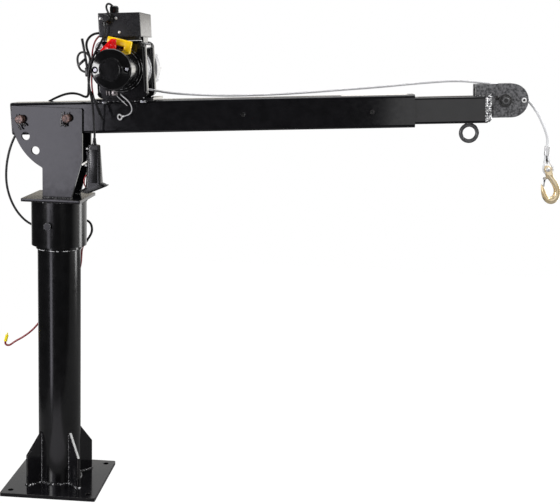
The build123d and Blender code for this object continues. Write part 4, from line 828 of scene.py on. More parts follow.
@dataclass
class Cord:
    """A free cable, lead or rope. Its sizes are in millimetres, and its route is in metres."""

    name: str
    node: str
    route: Line
    diameter: float
    length: float
    body: Body
    coat: Coat
    far_end: FarEnd = FarEnd.OBJECT
    ends: tuple[bpy.types.Object, ...] = ()
    lay: Lay = Lay.HANGING
    stiffness: Stiffness = Stiffness.MEDIUM

    @property
    def stands_for(self) -> Names:
        """The CAD nodes that it replaces."""
        return (self.node,) if self.node else ()

    def build(self, shop: Workshop) -> None:
        """Make the cord as one round curve on its body."""
        curve = curve_of(self.name, [self.route], radius=self.diameter / 2)
        shop.put(self.name, curve, self.body, self.coat, self.stands_for)

    def build_mesh(self, shop: Workshop, mesh: bpy.types.Mesh, end_body: Body | None = None) -> None:
        """Make the cord of a mesh, which stays on no body where its end follows another body.

        Args:
            shop: The workshop.
            mesh: The cord's mesh.
            end_body: The body that its end follows, where that is another one.
        """
        if end_body:
            piece = linked(self.name, mesh)
            shop.paint(piece, self.coat)
            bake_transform(piece)
            shop.label(self.stands_for)
        else:
            piece = shop.put(self.name, mesh, self.body, self.coat, self.stands_for)


@dataclass
class BaseColumn:
    """The bolted base plate and its column with four gussets."""

    shop: Workshop
    plate_top: float = 10.0
    column_r: float = 55.0
    foot_bead: float = 3.4
    foot_place: Pair = (0.9, 0.6)
    gusset_half: float = 4.0
    gusset_reach: float = 98.0
    gusset_top: float = 148.0
    gusset_bead: float = 2.9
    bead_off: float = 0.5
    seam_off: Pair = (1.0, 0.2)

    def build(self) -> None:
        """Dress the base and the column, and weld them."""
        foot = level_ring(self.column_r + self.foot_place[0], self.plate_top + self.foot_place[1])
        self.shop.bead("column_foot_weld", [foot], self.foot_bead, Body.BASE, Coat.WELD_BLACK, closed=True)
        feet, seams = self._gusset_lines()
        self.shop.bead("gusset_foot_welds", feet, self.gusset_bead, Body.BASE, Coat.WELD_BLACK)
        self.shop.bead("gusset_seams", seams, self.gusset_bead, Body.BASE, Coat.WELD_DIM)
        self.shop.soften(Coat.SATIN_BLACK, base_plate=1.2, column_gussets=0.9)
        self.shop.soften(Coat.GLOSS_BLACK, column_tube=0.5, column_cap=0.5)
        self.shop.paint(self.shop.nodes["thrust_washer"], Coat.WHITE_NYLON)

    def _gusset_lines(self) -> tuple[list[Line], list[Line]]:
        """Return the beads along the gussets' feet, and those up the column."""
        feet, seams = [], []
        low = self.plate_top + self.bead_off
        for quarter in range(4):
            turn = Matrix.Rotation(math.radians(45.0 + 90.0 * quarter), 3, "Z")
            for side in (-1, 1):
                across = side * (self.gusset_half + self.bead_off)
                toe = turn @ Vector((self.gusset_reach, across, low)) * MM
                heel = turn @ Vector((self.column_r + self.seam_off[0], across, low)) * MM
                crown = turn @ Vector((self.column_r + self.seam_off[1], across, self.gusset_top)) * MM
                feet.append(straight(toe, heel))
                seams.append(straight(heel, crown))
            feet.append(straight(*(turn @ Vector((self.gusset_reach + self.bead_off, across, low)) * MM
                                   for across in (-self.gusset_half, self.gusset_half))))
        return feet, seams


@dataclass
class Turret:
    """The collar that turns on the column, with the bracket and its pins."""

    shop: Workshop
    collar_r: float = 70.6
    collar_foot: float = 651.0
    collar_top: float = 769.2
    collar_bead: float = 2.6
    lip_r: Pair = (55.4, 58.6)
    lip_drop: float = 9.0
    lip_edge: float = 0.9
    lip_corner: float = 0.8
    lip_inset: float = 0.7
    bracket_x: Pair = (-29.0, 44.0)
    bracket_foot: float = 778.6
    bracket_faces: tuple[float, ...] = (-49.9, -40.1, 40.1, 49.9)
    bracket_bead: float = 2.2
    clip_thinning: float = 0.7

    def build(self) -> None:
        """Dress the turret, and weld its bracket and collar."""
        feet = [straight(*(Vector((x, y, self.bracket_foot)) * MM for x in self.bracket_x))
                for y in self.bracket_faces]
        self.shop.bead("bracket_foot_welds", feet, self.bracket_bead, Body.TURRET, Coat.WELD_DIM)
        self._ring("collar_weld", self.collar_r, self.collar_top, self.collar_bead, Coat.WELD_BLACK)
        inner, outer = self.lip_r
        lip = ((inner, 1.0), (inner, -self.lip_drop), (outer - self.lip_corner, -self.lip_drop),
               (outer, self.lip_corner - self.lip_drop), (outer, 1.0))
        place = Matrix.Translation(UP * self.collar_foot * MM)
        self.shop.add("collar_lip", lathe(lip, place, steps=96), Coat.GLOSS_BLACK, Body.TURRET)
        # A thin ring flecked with white along the lip's foot: painted glints.
        self._ring("collar_lip_edge", outer - self.lip_inset, self.collar_foot - self.lip_drop,
                   self.lip_edge, Coat.BROKEN_EDGE)
        self.shop.soften(Coat.GLOSS_BLACK, collar=1.2)
        self.shop.soften(Coat.MOTOR_GLOSS, collar_bolt=0.9)
        self.shop.soften(Coat.SATIN_BLACK, turret_plate=0.9, bracket_plates=0.8)
        self.shop.soften(Coat.RUSTY_PIN, pivot_pin=0.5, lock_pin=0.5)
        self.shop.thin("pin_clips", Coat.DULL_ZINC, self.clip_thinning)
        self.shop.paint(self.shop.nodes["collar_bushes"], Coat.BRONZE)

    def _ring(self, name: str, radius: float, height: float, bead: float, coat: Coat) -> None:
        """Lay a bead round the collar."""
        self.shop.bead(name, [level_ring(radius, height)], bead, Body.TURRET, coat, closed=True)


@dataclass
class OuterBoom:
    """The outer square tube with its sleeves, screws and end plug."""

    shop: Workshop
    deck_s: Pair = (70.0, 216.0)
    deck_n: float = 38.9
    deck_half: float = 39.4
    deck_bead: float = 2.6

    def build(self) -> None:
        """Dress the outer boom, and weld the winch's deck to it."""
        lines = [straight(*(BOOM.point(s, self.deck_n, side * self.deck_half) for s in self.deck_s))
                 for side, _ in SIDES]
        self.shop.bead("deck_welds", lines, self.deck_bead, Body.BOOM, Coat.WELD_BLACK)
        self.shop.soften(Coat.SATIN_BLACK, boom_tube=0.5, boom_sleeves=0.4)
        self.shop.soften(Coat.BLACK_OXIDE, boom_set_screws=0.4)
        self.shop.soften(Coat.BLACK_PLASTIC, boom_rear_plug=0.6)


@dataclass
class InnerBoom:
    """The inner square tube, the sheave head and the eye bolt.

    Each upright bead of the head has its s, its two heights n and its y.
    """

    shop: Workshop
    head_beads: tuple[tuple[float, float, float, float], ...] = (
        (1030.5, -29.0, 31.0, 32.4), (1036.5, -30.0, 34.0, 31.0), (1040.5, -19.0, 38.0, 27.4))
    head_bead: float = 3.4
    head_ripple: float = 6.0
    tail_s: Pair = (1005.0, 1033.0)
    tail_place: Pair = (33.0, 25.8)
    tail_bead: float = 2.2
    drip: Profile = ((0.0, -4.6), (1.6, -4.0), (2.6, -2.0), (2.8, 0.0), (2.2, 2.4), (0.0, 4.0))
    drip_place: Triple = (1041.5, -23.0, -29.6)
    axle_place: Triple = (1076.0, 20.5, 36.5)
    axle_ring: Profile = ((4.6, -0.5), (4.6, 0.8), (5.4, 1.8), (6.8, 2.0), (8.2, 1.4), (8.8, 0.4),
                          (8.8, -0.5))
    plug_place: Triple = (1056.2, 27.5, 25.0)
    plug: Profile = ((0.0, 2.2), (2.6, 2.0), (4.6, 1.2), (5.8, 0.0), (5.8, -0.5))
    keeper_place: Triple = (1121.5, 20.5, 25.0)
    keeper_ring: Profile = ((3.0, -0.4), (3.0, 1.6), (3.4, 2.0), (5.4, 2.0), (6.2, 1.2), (6.2, -0.4))

    def build(self) -> None:
        """Dress the inner boom, and weld the head to its end."""
        for side, name in SIDES:
            uprights = [straight(BOOM.point(s, low, side * y), BOOM.point(s, high, side * y))
                        for s, low, high, y in self.head_beads]
            self.shop.bead(f"head_weld_{name}", uprights, self.head_bead, Body.INNER_BOOM, Coat.WELD_SILVER,
                           ripple=self.head_ripple)
            n, y = self.tail_place
            tail = straight(*(BOOM.point(s, n, side * y) for s in self.tail_s))
            self.shop.bead(f"tail_weld_{name}", [tail], self.tail_bead, Body.INNER_BOOM, Coat.WELD_BLACK)
        drop = lathe(self.drip, BOOM.matrix(*self.drip_place), steps=16)
        self.shop.add("head_weld_drip", drop, Coat.WELD_SILVER, Body.INNER_BOOM)
        self._head_details()
        self.shop.soften(Coat.SATIN_BLACK, inner_tube=0.5)
        self.shop.soften(Coat.CAST_CHARCOAL, head_cheeks=1.6)
        self.shop.soften(Coat.BLACK_OXIDE, sheave_axle=0.8, keeper_pin=0.8)
        self.shop.soften(Coat.DRUM_PLATE, sheave=0.5)
        self.shop.paint(self.shop.nodes["eye_bolt"], Coat.EYE_SATIN)

    def _head_details(self) -> None:
        """Make the turned ring of the axle, a plug and the keeper's rings, on both sides of the head."""
        details = (("axle_end", self.axle_ring, self.axle_place, Coat.EYE_SATIN, 28),
                   ("head_plug", self.plug, self.plug_place, Coat.BLACK_OXIDE, 24),
                   ("keeper_ring", self.keeper_ring, self.keeper_place, Coat.TIN_PLATE, 28))
        for side, name in SIDES:
            for detail, profile, (s, n, y), coat, steps in details:
                self.shop.turned(f"{detail}_{name}", profile, (s, n, side * y), coat, BACK * side, steps,
                                 Body.INNER_BOOM)


@dataclass
class Winch:
    """The electric winch on its deck plate."""

    shop: Workshop
    face: float = -67.0
    seat: float = 0.5
    screw_head: Profile = ((0.0, 3.2), (1.4, 3.2), (1.4, 4.2), (2.8, 4.2), (3.4, 3.6), (3.4, -1.0),
                           (0.0, -1.0))
    screws: tuple[Pair, ...] = ((179.0, 152.5), (179.0, 81.5))
    bolt_head: Profile = ((0.0, 3.6), (4.4, 3.4), (5.6, 2.6), (6.0, 1.4), (8.2, 1.4), (8.6, 0.9),
                          (8.6, -0.5))
    tie_bolts: tuple[tuple[float, Coat], ...] = ((93.0, Coat.TIN_PLATE), (193.0, Coat.BLACK_OXIDE))
    tie_n: float = 172.0
    nut: Pair = (125.6, 60.0)
    nut_half: Pair = (7.0, 5.8)
    nut_height: float = 5.5
    nut_round: float = 0.9
    stud: Profile = ((0.0, 10.5), (2.0, 10.0), (2.4, 9.0), (2.4, 0.0))
    clips: tuple[Pair, ...] = ((105.0, 60.5), (111.8, 59.5))
    clip_half: float = 1.4
    clip_height: float = 2.5
    clip_round: float = 0.6
    rim_s: float = 143.0
    rim_half: float = 44.0
    rim_top: float = 172.0
    rim_foot: float = 60.0
    rim_angle: float = math.radians(60.0)
    rim_round: float = 9.0

    def build(self) -> None:
        """Dress the winch, and add its small fasteners."""
        for index, place in enumerate(self.screws):
            self.shop.turned(f"flange_screw_{index}", self.screw_head, (*place, self.face), Coat.BRIGHT_ZINC,
                             steps=20)
        for index, (s, coat) in enumerate(self.tie_bolts):
            self.shop.turned(f"tie_bolt_{index}", self.bolt_head, (s, self.tie_n, self.face), coat)
        self._lug("terminal_nut", self.nut, self.nut_half[0], self.nut_height, self.nut_round)
        for index, place in enumerate(self.clips):
            self._lug(f"terminal_clip_{index}", place, self.clip_half, self.clip_height, self.clip_round)
        self.shop.turned("terminal_stud", self.stud, (*self.nut, self.face), Coat.DULL_ZINC, steps=16)
        self._support("winch_support_motor")
        self._support("winch_support_gear")
        self.shop.soften(Coat.SATIN_BLACK, winch_deck=0.8)
        self.shop.soften(Coat.BRIGHT_ZINC, winch_bolts=0.5, winch_tie_bars=0.5, motor_screws=0.6)
        self.shop.soften(Coat.MOTOR_GLOSS, winch_motor=0.8, motor_end_cap=0.7)
        self.shop.soften(Coat.GEAR_SILVER, winch_gearbox=0.9)
        self.shop.soften(Coat.BLACK_PLASTIC, clutch_knob=1.0)
        self.shop.soften(Coat.DRUM_PLATE, drum=0.6)

    def _lug(self, name: str, place: Pair, half: float, height: float, rounding: float) -> None:
        """Make a square nut or a clip on the motor's support.

        Args:
            name: The piece's name.
            place: Its middle, along the boom and above it.
            half: Half its width in millimetres.
            height: How far it stands out in millimetres.
            rounding: Width of its rounded edges in millimetres.
        """
        shape = block(BOOM.point(*place, self.face + self.seat), BOOM.point(*place, self.face - height),
                      BOOM.way(half), BOOM.way(0.0, self.nut_half[1]), rounding)
        self.shop.add(name, shape, Coat.DULL_NICKEL)

    def _support(self, node: str) -> None:
        """Replace an end support by a copy whose rim is well rounded above its foot.

        Args:
            node: The support's name.
        """
        shape = self.shop.copy_of(node, flatten=True)
        level = BOOM.matrix(0.0, 0.0).inverted()
        rim = []
        for edge in shape.edges:
            ends = [level @ vert.co / MM for vert in edge.verts]
            outer = all(abs(end.x - self.rim_s) > self.rim_half or end.z > self.rim_top for end in ends)
            above = max(end.z for end in ends) > self.rim_foot
            if outer and above and edge.calc_face_angle(0.0) > self.rim_angle:
                rim.append(edge)
        round_edges(shape, rim, self.rim_round, segments=5, within=False)
        self.shop.steady(self.shop.stand_in(node, shape, Coat.SATIN_BLACK))


@dataclass
class ControlBox:
    """The control box with its tray, socket, cap and plug, and the terminal boots under it.

    Each ring of the red boot has its s, its n, and half its width and depth. Each of the boot's folds has
    its share, its waves round the boot and its radians for each metre up the boot.
    """

    shop: Workshop
    face: float = -85.0
    top: float = 250.0
    screws: tuple[Pair, ...] = ((103.5, 237.0), (141.5, 237.0), (147.5, 204.0))
    screw_head: Profile = ((0.0, 0.9), (0.9, 1.1), (1.2, 2.4), (2.2, 2.2), (3.2, 1.3), (3.5, 0.0),
                           (3.5, -0.6), (0.0, -0.6))
    tray_s: float = 150.0
    tray_n: Pair = (187.0, 195.5)
    tray_half: Pair = (40.0, 55.0)
    tray_round: float = 1.2
    socket: Pair = (121.5, 236.0)
    ring: Profile = ((12.3, -0.2), (14.4, -0.2), (14.6, 1.0), (14.2, 2.2), (12.3, 2.2), (12.3, -0.2))
    grip: Profile = ((9.4, 0.0), (10.3, -0.5), (10.3, -1.2), (9.4, -1.7))
    grip_start: float = -4.0
    grip_pitch: float = 2.2
    grips: int = 7
    cap_s: float = 135.5
    cap_r: float = 11.0
    cap_ribs: int = 8
    rib_pitch: float = 1.7
    rib_depth: float = 0.9
    cap_crown: Profile = ((9.4, 15.0), (8.0, 16.4), (5.0, 17.0), (0.0, 17.0))
    strap_r: float = 2.5
    strap_route: Route = ((124.5, 249.5, -87.6), (120.0, 258, -87.6), (119.8, 269, -85.5),
                          (127.0, 273, -81.0), (133.5, 265, -75.5))
    red_y: float = -122.8
    red_axis: Pair = (134.0, 170.0)
    red_rings: tuple[tuple[float, float, float, float], ...] = (
        (126.5, 150.0, 18.5, 9.0), (127.5, 161.0, 18.5, 9.2), (128.6, 165.5, 17.6, 9.4),
        (130.6, 170.0, 15.6, 9.0), (133.2, 174.6, 13.4, 8.6), (136.4, 179.6, 10.8, 8.4),
        (139.0, 184.0, 8.8, 8.0), (140.4, 187.0, 7.2, 7.0), (141.0, 188.6, 4.6, 4.4))
    red_squareness: float = 2.6
    fold: float = 0.08
    folds: tuple[Triple, ...] = ((1.0, 5.0, 320.0), (0.6, 9.0, -210.0))
    yellow_y: float = -101.5
    yellow_run: tuple[Pair, ...] = ((123.0, 187.4), (171.5, 175.0), (163.5, 146.0))
    yellow_half: Pair = (8.4, 8.6)
    yellow_mouth: float = 1.15
    yellow_squareness: float = 5.0
    yellow_bend: float = math.radians(30.0)
    yellow_round: float = 1.6
    lug_run: Route = ((150.0, 163.6, -106.5), (166.0, 158.0, -106.5))
    lug_half: Pair = (5.0, 2.2)
    lug_round: float = 0.8

    def build(self) -> None:
        """Dress the box, and make its soft pieces and screws."""
        for index, place in enumerate(self.screws):
            self.shop.turned(f"box_screw_{index}", self.screw_head, (*place, self.face), Coat.TIN_PLATE,
                             steps=20, stands_for=() if index else ("box_screws",))
        self._socket()
        self._red_boot()
        self._yellow_boot()
        low, high = (BOOM.point(self.tray_s, n) for n in self.tray_n)
        tray = block(low, high, BOOM.way(self.tray_half[0]), BACK * self.tray_half[1] * MM, self.tray_round)
        self.shop.add("box_tray", tray, Coat.BLACK_OXIDE)
        self.shop.soften(Coat.BOX_CHARCOAL, control_box_base=0.5, control_box_cover=1.0)
        self.shop.soften(Coat.BLACK_PLASTIC, contactor=0.8, control_socket=0.5, pendant_plug=0.5)

    def _socket(self) -> None:
        """Make the socket's rubber cap with its ribs, strap and ring, and the ribbed grip of the plug."""
        ribs = tuple((self.cap_r - self.rib_depth * (index % 2), 1.0 + self.rib_pitch * index)
                     for index in range(self.cap_ribs))
        cap = ((0.0, 0.0), (self.cap_r - 1.0, 0.0), *ribs, *self.cap_crown)
        self.shop.turned("socket_cap", cap, (self.cap_s, self.top, self.face + self.cap_r), Coat.MOTOR_GLOSS,
                         BOOM.way(0.0, 1.0), steps=28, stands_for=("dust_cap",))
        strap = tube_mesh("cap_strap", [line_of(BOOM.points(self.strap_route))], self.strap_r)
        self.shop.put("cap_strap", strap, Body.BOOM, Coat.CABLE_JACKET)
        place = (*self.socket, self.face)
        self.shop.turned("cap_ring", self.ring, place, Coat.BLACK_OXIDE, steps=32)
        grip = tuple((radius, self.grip_start - self.grip_pitch * index + height)
                     for index in range(self.grips) for radius, height in self.grip)
        self.shop.turned("plug_grip", grip, place, Coat.BLACK_PLASTIC, BACK, steps=28)

    def _red_boot(self) -> None:
        """Make the red boot, a soft hood that leans and folds."""
        along = BOOM.way(1.0)
        rings = [ring_at(BOOM.point(s, n, self.red_y), along * wide, BACK * deep * MM)
                 for s, n, wide, deep in self.red_rings]
        shape = loft(rings, self.red_squareness, segments=48)
        axis = BOOM.point(*self.red_axis, self.red_y)
        for vert in shape.verts:
            out = vert.co - axis
            turn = math.atan2(out.y, out.dot(along) / MM)
            rise = (out - along * out.dot(along) / along.length_squared).z
            wave = sum(share * math.sin(count * turn + pace * rise) for share, count, pace in self.folds)
            vert.co += Vector((out.x, out.y, 0.0)) * self.fold * wave
        piece = self.shop.add("red_terminal_boot", shape, Coat.RED_VINYL, stands_for=("red_boot",))
        skin = piece.modifiers.new("soft_skin", "SUBSURF")
        skin.levels = skin.render_levels = 1

    def _yellow_boot(self) -> None:
        """Make the yellow boot, a square sleeve with one sharp bend, and the terminal in its mouth."""
        start, corner, end = (BOOM.point(s, n, self.yellow_y) for s, n in self.yellow_run)
        first, last = (corner - start).normalized(), (end - corner).normalized()
        half, deep = self.yellow_half[0] * MM, BACK * self.yellow_half[1] * MM
        mitre = (first - last).normalized() * half * math.sqrt(2.0 / (1.0 + first.dot(last)))
        rings = [ring_at(start, Vector((-first.z, 0.0, first.x)) * half, deep), ring_at(corner, mitre, deep),
                 ring_at(end, Vector((-last.z, 0.0, last.x)) * half * self.yellow_mouth, deep)]
        shape = loft(rings, self.yellow_squareness, segments=20)
        bends = [edge for edge in shape.edges if edge.calc_face_angle(0.0) > self.yellow_bend]
        round_edges(shape, bends, self.yellow_round)
        self.shop.add("yellow_terminal_boot", shape, Coat.YELLOW_VINYL, stands_for=("yellow_boot",))
        lug = block(*BOOM.points(self.lug_run), BACK * self.lug_half[0] * MM, UP * self.lug_half[1] * MM,
                    self.lug_round)
        self.shop.add("terminal_lug", lug, Coat.BRONZE)


@dataclass
class HandControl:
    """The hand control that hangs on its cable, in millimetres of the crane's frame."""

    shop: Workshop
    place: Pair = (111.0, -82.0)
    top: float = 919.0
    foot: float = 799.0
    face: float = -95.0
    relief_foot: Profile = ((6.5, -0.5), (6.5, 2.0))
    relief_ribs: int = 5
    relief_r: Pair = (5.2, 3.6)
    relief_taper: Pair = (0.35, 0.15)
    relief_rib: Triple = (2.4, 4.4, 4.8)
    relief_pitch: float = 3.0
    plate_z: Pair = (826.0, 908.0)
    plate_off: Pair = (1.0, -0.4)
    plate_half: Pair = (9.0, 1.2)
    plate_round: float = 0.9
    lip_half: Pair = (32.6, 16.6)
    lip_r: float = 1.8
    lip_rise: float = 1.6
    lip_points: int = 64
    lip_squareness: float = 5.0
    pin: Profile = ((0.0, 5.0), (1.6, 4.6), (2.2, 3.4), (2.2, -2.0))
    pin_z: Pair = (909.0, 868.0)
    pin_off: Pair = (-14.0, -6.0)
    pin_slant: float = 0.06
    pin_axis: Triple = (-1.0, -0.35, 0.0)
    foot_low: float = 98.0
    foot_fade: float = 880.0
    foot_level: float = 8.0
    foot_slopes: Pair = (0.24, 0.44)
    flare_top: float = 832.0
    flare_rise: Pair = (14.0, 12.0)
    long_edge: float = 12.0
    front_swell: float = 5.0
    back_taper: float = 9.0
    taper_depth: float = 26.0
    taper_width: float = 12.0

    def build(self) -> None:
        """Make the hand control's strain relief, face plate, foot lip and pins, and shape its body."""
        x, y = self.place
        relief = list(self.relief_foot)
        for index in range(self.relief_ribs):
            outer, inner = (radius - taper * index
                            for radius, taper in zip(self.relief_r, self.relief_taper))
            start, end, groove = (height + self.relief_pitch * index for height in self.relief_rib)
            relief += [(outer, start), (outer, end), (inner, groove)]
        cable_end = facing(Vector((x, y, self.top)) * MM, UP)
        self.shop.add("hand_relief", lathe(relief, cable_end), Coat.BLACK_PLASTIC)
        low, high = (Vector((x + self.plate_off[0], self.face + self.plate_off[1], z)) * MM
                     for z in self.plate_z)
        plate = block(low, high, Vector((self.plate_half[0] * MM, 0.0, 0.0)), BACK * self.plate_half[1] * MM,
                      self.plate_round)
        self.shop.add("hand_face_plate", plate, Coat.BLACK_PLASTIC)
        self._lip()
        for index, z in enumerate(self.pin_z):
            slant = self.pin_slant * (self.top - z)
            spot = Vector((x + self.pin_off[0] - slant, y + self.pin_off[1], z)) * MM
            shape = lathe(self.pin, facing(spot, Vector(self.pin_axis)), steps=16)
            self.shop.add(f"hand_lever_{index}", shape, Coat.TIN_PLATE)
        self._body()
        self.shop.soften(Coat.BLACK_PLASTIC, pendant_rocker=0.6)

    def _lip(self) -> None:
        """Make the lip round the slanted foot."""
        line = []
        for index in range(self.lip_points):
            turn = 2 * math.pi * index / self.lip_points
            across, deep = math.cos(turn), math.sin(turn)
            reach = square_reach(across, deep, self.lip_squareness)
            spot = Vector((self.place[0] + self.lip_half[0] * reach * across,
                           self.place[1] + self.lip_half[1] * reach * deep, self.foot + self.lip_rise))
            line.append((spot + UP * self._lift(spot)) * MM)
        lip = tube_mesh("hand_foot_lip", [line], self.lip_r, closed=True)
        self.shop.put("hand_foot_lip", lip, Body.BOOM, Coat.MOTOR_GLOSS)

    def _body(self) -> None:
        """Round the hand control's body, taper its back and slant its foot."""
        self.shop.soften(Coat.BLACK_PLASTIC, pendant_body=1.2)
        mesh = bpy.data.objects["pendant_body_dressed"].data
        shape = bmesh.new()
        shape.from_mesh(mesh)
        edges = [edge for edge in shape.edges if edge.calc_length() > self.long_edge * MM
                 and max(vert.co.z for vert in edge.verts) < self.flare_top * MM]
        bmesh.ops.subdivide_edges(shape, edges=edges, cuts=9)
        for vert in shape.verts:
            spot = vert.co / MM
            behind = clamp((spot.y - self.face) / self.taper_depth)
            above = clamp((spot.z - self.foot - self.flare_rise[0]) / self.flare_rise[1])
            beside = clamp((spot.x - self.place[0]) / self.taper_width)
            vert.co.x += (self.front_swell - self.back_taper * behind) * above * beside * MM
            vert.co.z += self._lift(spot) * MM
        shape.to_mesh(mesh)
        shape.free()

    def _lift(self, spot: Vector) -> float:
        """Return how far the slanted foot stands above a level one.

        Args:
            spot: A point of the hand control, in millimetres.

        Returns:
            The rise in millimetres, which fades away above the flare.
        """
        along = spot.x - self.foot_low
        share = clamp((self.foot_fade - spot.z) / (self.foot_fade - self.foot - self.foot_level))
        return share * along * (self.foot_slopes[1] if along > 0.0 else -self.foot_slopes[0])


@dataclass
class WireRope:
    """The stranded rope: its winding, its span along the boom and its tail over the sheave."""

    shop: Workshop
    diameter: float = 6.0
    eye_diameter: float = 5.5
    lengths: tuple[float, ...] = (2997.0, 896.0, 231.0, 108.0)
    lay_length: float = 40.0
    strands: int = 6
    drum: Pair = (143.0, 117.0)
    layer_radius: float = 50.0
    pitch: float = 6.6
    loops: float = 9.5
    stations: int = 36
    leave_angle: float = -90.0
    lead_out: float = 6.0
    lead_on: float = 22.0
    run_on: float = 18.0
    sleeve: float = 1.2
    span_route: Route = (
        (206, 61.5, 31), (246, 54, 29), (304, 49, 26), (376, 45.2, 23), (450, 44.6, 20), (524, 46, 17),
        (598, 49.2, 14), (672, 53.4, 11), (746, 57.4, 8), (820, 62.4, 5), (890, 67.6, 2), (952, 70.6, 0.4),
        (1004, 67, 0), (1042, 61, 0))
    crown_route: Route = ((1081, 52.6, 0), (1102.5, 44.2, 0), (1123, 31.5, 0))
    fall_route: Route = ((1175.5, 0, 1061.5), (1194, 0, 1039), (1209.5, 0, 1012), (1220.5, 0, 989),
                         (1225, 0, 973), (1225, 0, 958))
    eye_route: Route = (
        (1228.05, 0, 934), (1228.05, 0, 927), (1233.5, 0, 918), (1241, 0, 909), (1244, 0, 899),
        (1239.5, 0, 890), (1229.5, 0, 888), (1221.2, 0, 893.5), (1219.6, 0, 904), (1220.8, 0, 915),
        (1221.95, 0, 926), (1221.95, 0, 934))
    # A dark cone between the eye's legs under the ferrule: painted shadow.
    shadow_cone: Profile = ((1.6, -2.0), (2.6, 0.0), (2.6, 8.0), (2.2, 14.0), (1.4, 19.0), (0.6, 22.0),
                       (0.0, 22.4))
    shadow_cone_place: Triple = (1225.0, 0.0, 934.0)
    shadow_cone_axis: Triple = (0.14, 0.0, -1.0)

    def build(self) -> None:
        """Make the rope's four lengths."""
        wound, spanned, hung, looped = self.lengths
        exit_point, exit_dir = self._wound_point(self.leave_angle)
        leave = exit_point + exit_dir * self.lead_out * MM
        self._rope(Cord("rope_winding", "rope_wound", self._winding(leave), self.diameter, wound, Body.DRUM,
                        Coat.ROPE_WIRE, lay=Lay.COILED), steps=3)
        span = [leave, leave + exit_dir * self.lead_on * MM] + BOOM.points(self.span_route)
        self._rope(Cord("rope_along_boom", "rope_span", span, self.diameter, spanned, Body.BOOM,
                        Coat.ROPE_WIRE), Body.INNER_BOOM)
        run_on = (span[-1] - span[-2]).normalized() * self.run_on * MM
        tail = [span[-1], span[-1] + run_on] + BOOM.points(self.crown_route) + world_points(self.fall_route)
        self._rope(Cord("rope_over_sheave", "rope_tail", tail, self.diameter, hung, Body.INNER_BOOM,
                        Coat.ROPE_SLEEVE), Body.ROPE_END)
        # The dark cone in the eye's apex stands in for the shadow there.
        place = facing(Vector(self.shadow_cone_place) * MM, Vector(self.shadow_cone_axis))
        self.shop.add("eye_throat", lathe(self.shadow_cone, place, steps=16), Coat.BLACK_OXIDE, Body.ROPE_END)
        Cord("rope_eye_loop", "rope_eye", world_points(self.eye_route), self.eye_diameter, looped,
             Body.ROPE_END, Coat.ROPE_SLEEVE).build(self.shop)
        self.shop.soften(Coat.TIN_PLATE, ferrule=0.6)

    def _wound_point(self, angle: float, swell: float = 1.0) -> tuple[Vector, Vector]:
        """Return a place on the drum's rope layer and the rope's direction there.

        Args:
            angle: Angle about the drum in degrees.
            swell: Factor of the layer's radius.

        Returns:
            The place in metres and the unit direction.
        """
        turn = math.radians(angle)
        radius = self.layer_radius * swell
        across = self.pitch * (self.loops / 2 + (angle - self.leave_angle) / 360.0)
        s, n = self.drum
        place = BOOM.point(s + radius * math.cos(turn), n + radius * math.sin(turn), across)
        slope = BACK * (self.pitch * MM / (2 * math.pi * self.layer_radius))
        return place, (BOOM.way(-math.sin(turn), math.cos(turn)) + slope).normalized()

    def _winding(self, leave: Vector) -> Line:
        """Return the winding's control points, turn by turn.

        Args:
            leave: The point where the rope leaves the drum.

        Returns:
            The control points, in metres, set out so that the smooth line keeps the layer's radius.
        """
        step = 360.0 / self.stations
        swell = 2.0 / (math.cos(math.radians(step / 2)) + 0.75 + 0.25 * math.cos(math.radians(step)))
        count = round(self.loops * self.stations)
        places = [self._wound_point(self.leave_angle - step * (count - index), swell)[0]
                  for index in range(count)]
        start, start_dir = self._wound_point(self.leave_angle - 360.0 * self.loops)
        end = self._wound_point(self.leave_angle)[0]
        return [start - start_dir * self.lead_out * MM, *places, end, leave]

    def _rope(self, cord: Cord, end_body: Body | None = None, steps: int = 16) -> None:
        """Make one length of rope, of strands that turn about its line or in a smooth sleeve.

        Args:
            cord: The rope's facts.
            end_body: The body that its end follows, where that is another one.
            steps: How many points its line has for each of the route's.
        """
        cord.stiffness = Stiffness.STIFF
        line = line_of(cord.route, steps)
        if cord.coat is Coat.ROPE_SLEEVE:
            mesh = tube_mesh(cord.name, [line], cord.diameter / 2 + self.sleeve, roundness=3)
        else:
            mesh = tube_mesh(cord.name, self._strand_lines(line), self.diameter / 6, roundness=1)
        cord.build_mesh(self.shop, mesh, end_body)

    def _strand_lines(self, line: Line) -> list[Line]:
        """Return the lines of the core and of the strands laid round it.

        Args:
            line: The rope's own line, in metres.

        Returns:
            One list of points for each strand, the core first.
        """
        reach = self.diameter / 3 * MM
        across = BACK
        gone = 0.0
        lines = [list(line)] + [[] for _ in range(self.strands)]
        for index, point in enumerate(line):
            before = line[max(index - 1, 0)]
            ahead = (line[min(index + 1, len(line) - 1)] - before).normalized()
            across = (across - ahead * across.dot(ahead)).normalized()
            gone += (point - before).length
            for strand in range(self.strands):
                turn = 2 * math.pi * (gone / (self.lay_length * MM) + strand / self.strands)
                lines[strand + 1].append(point + Matrix.Rotation(turn, 3, ahead) @ across * reach)
        return lines


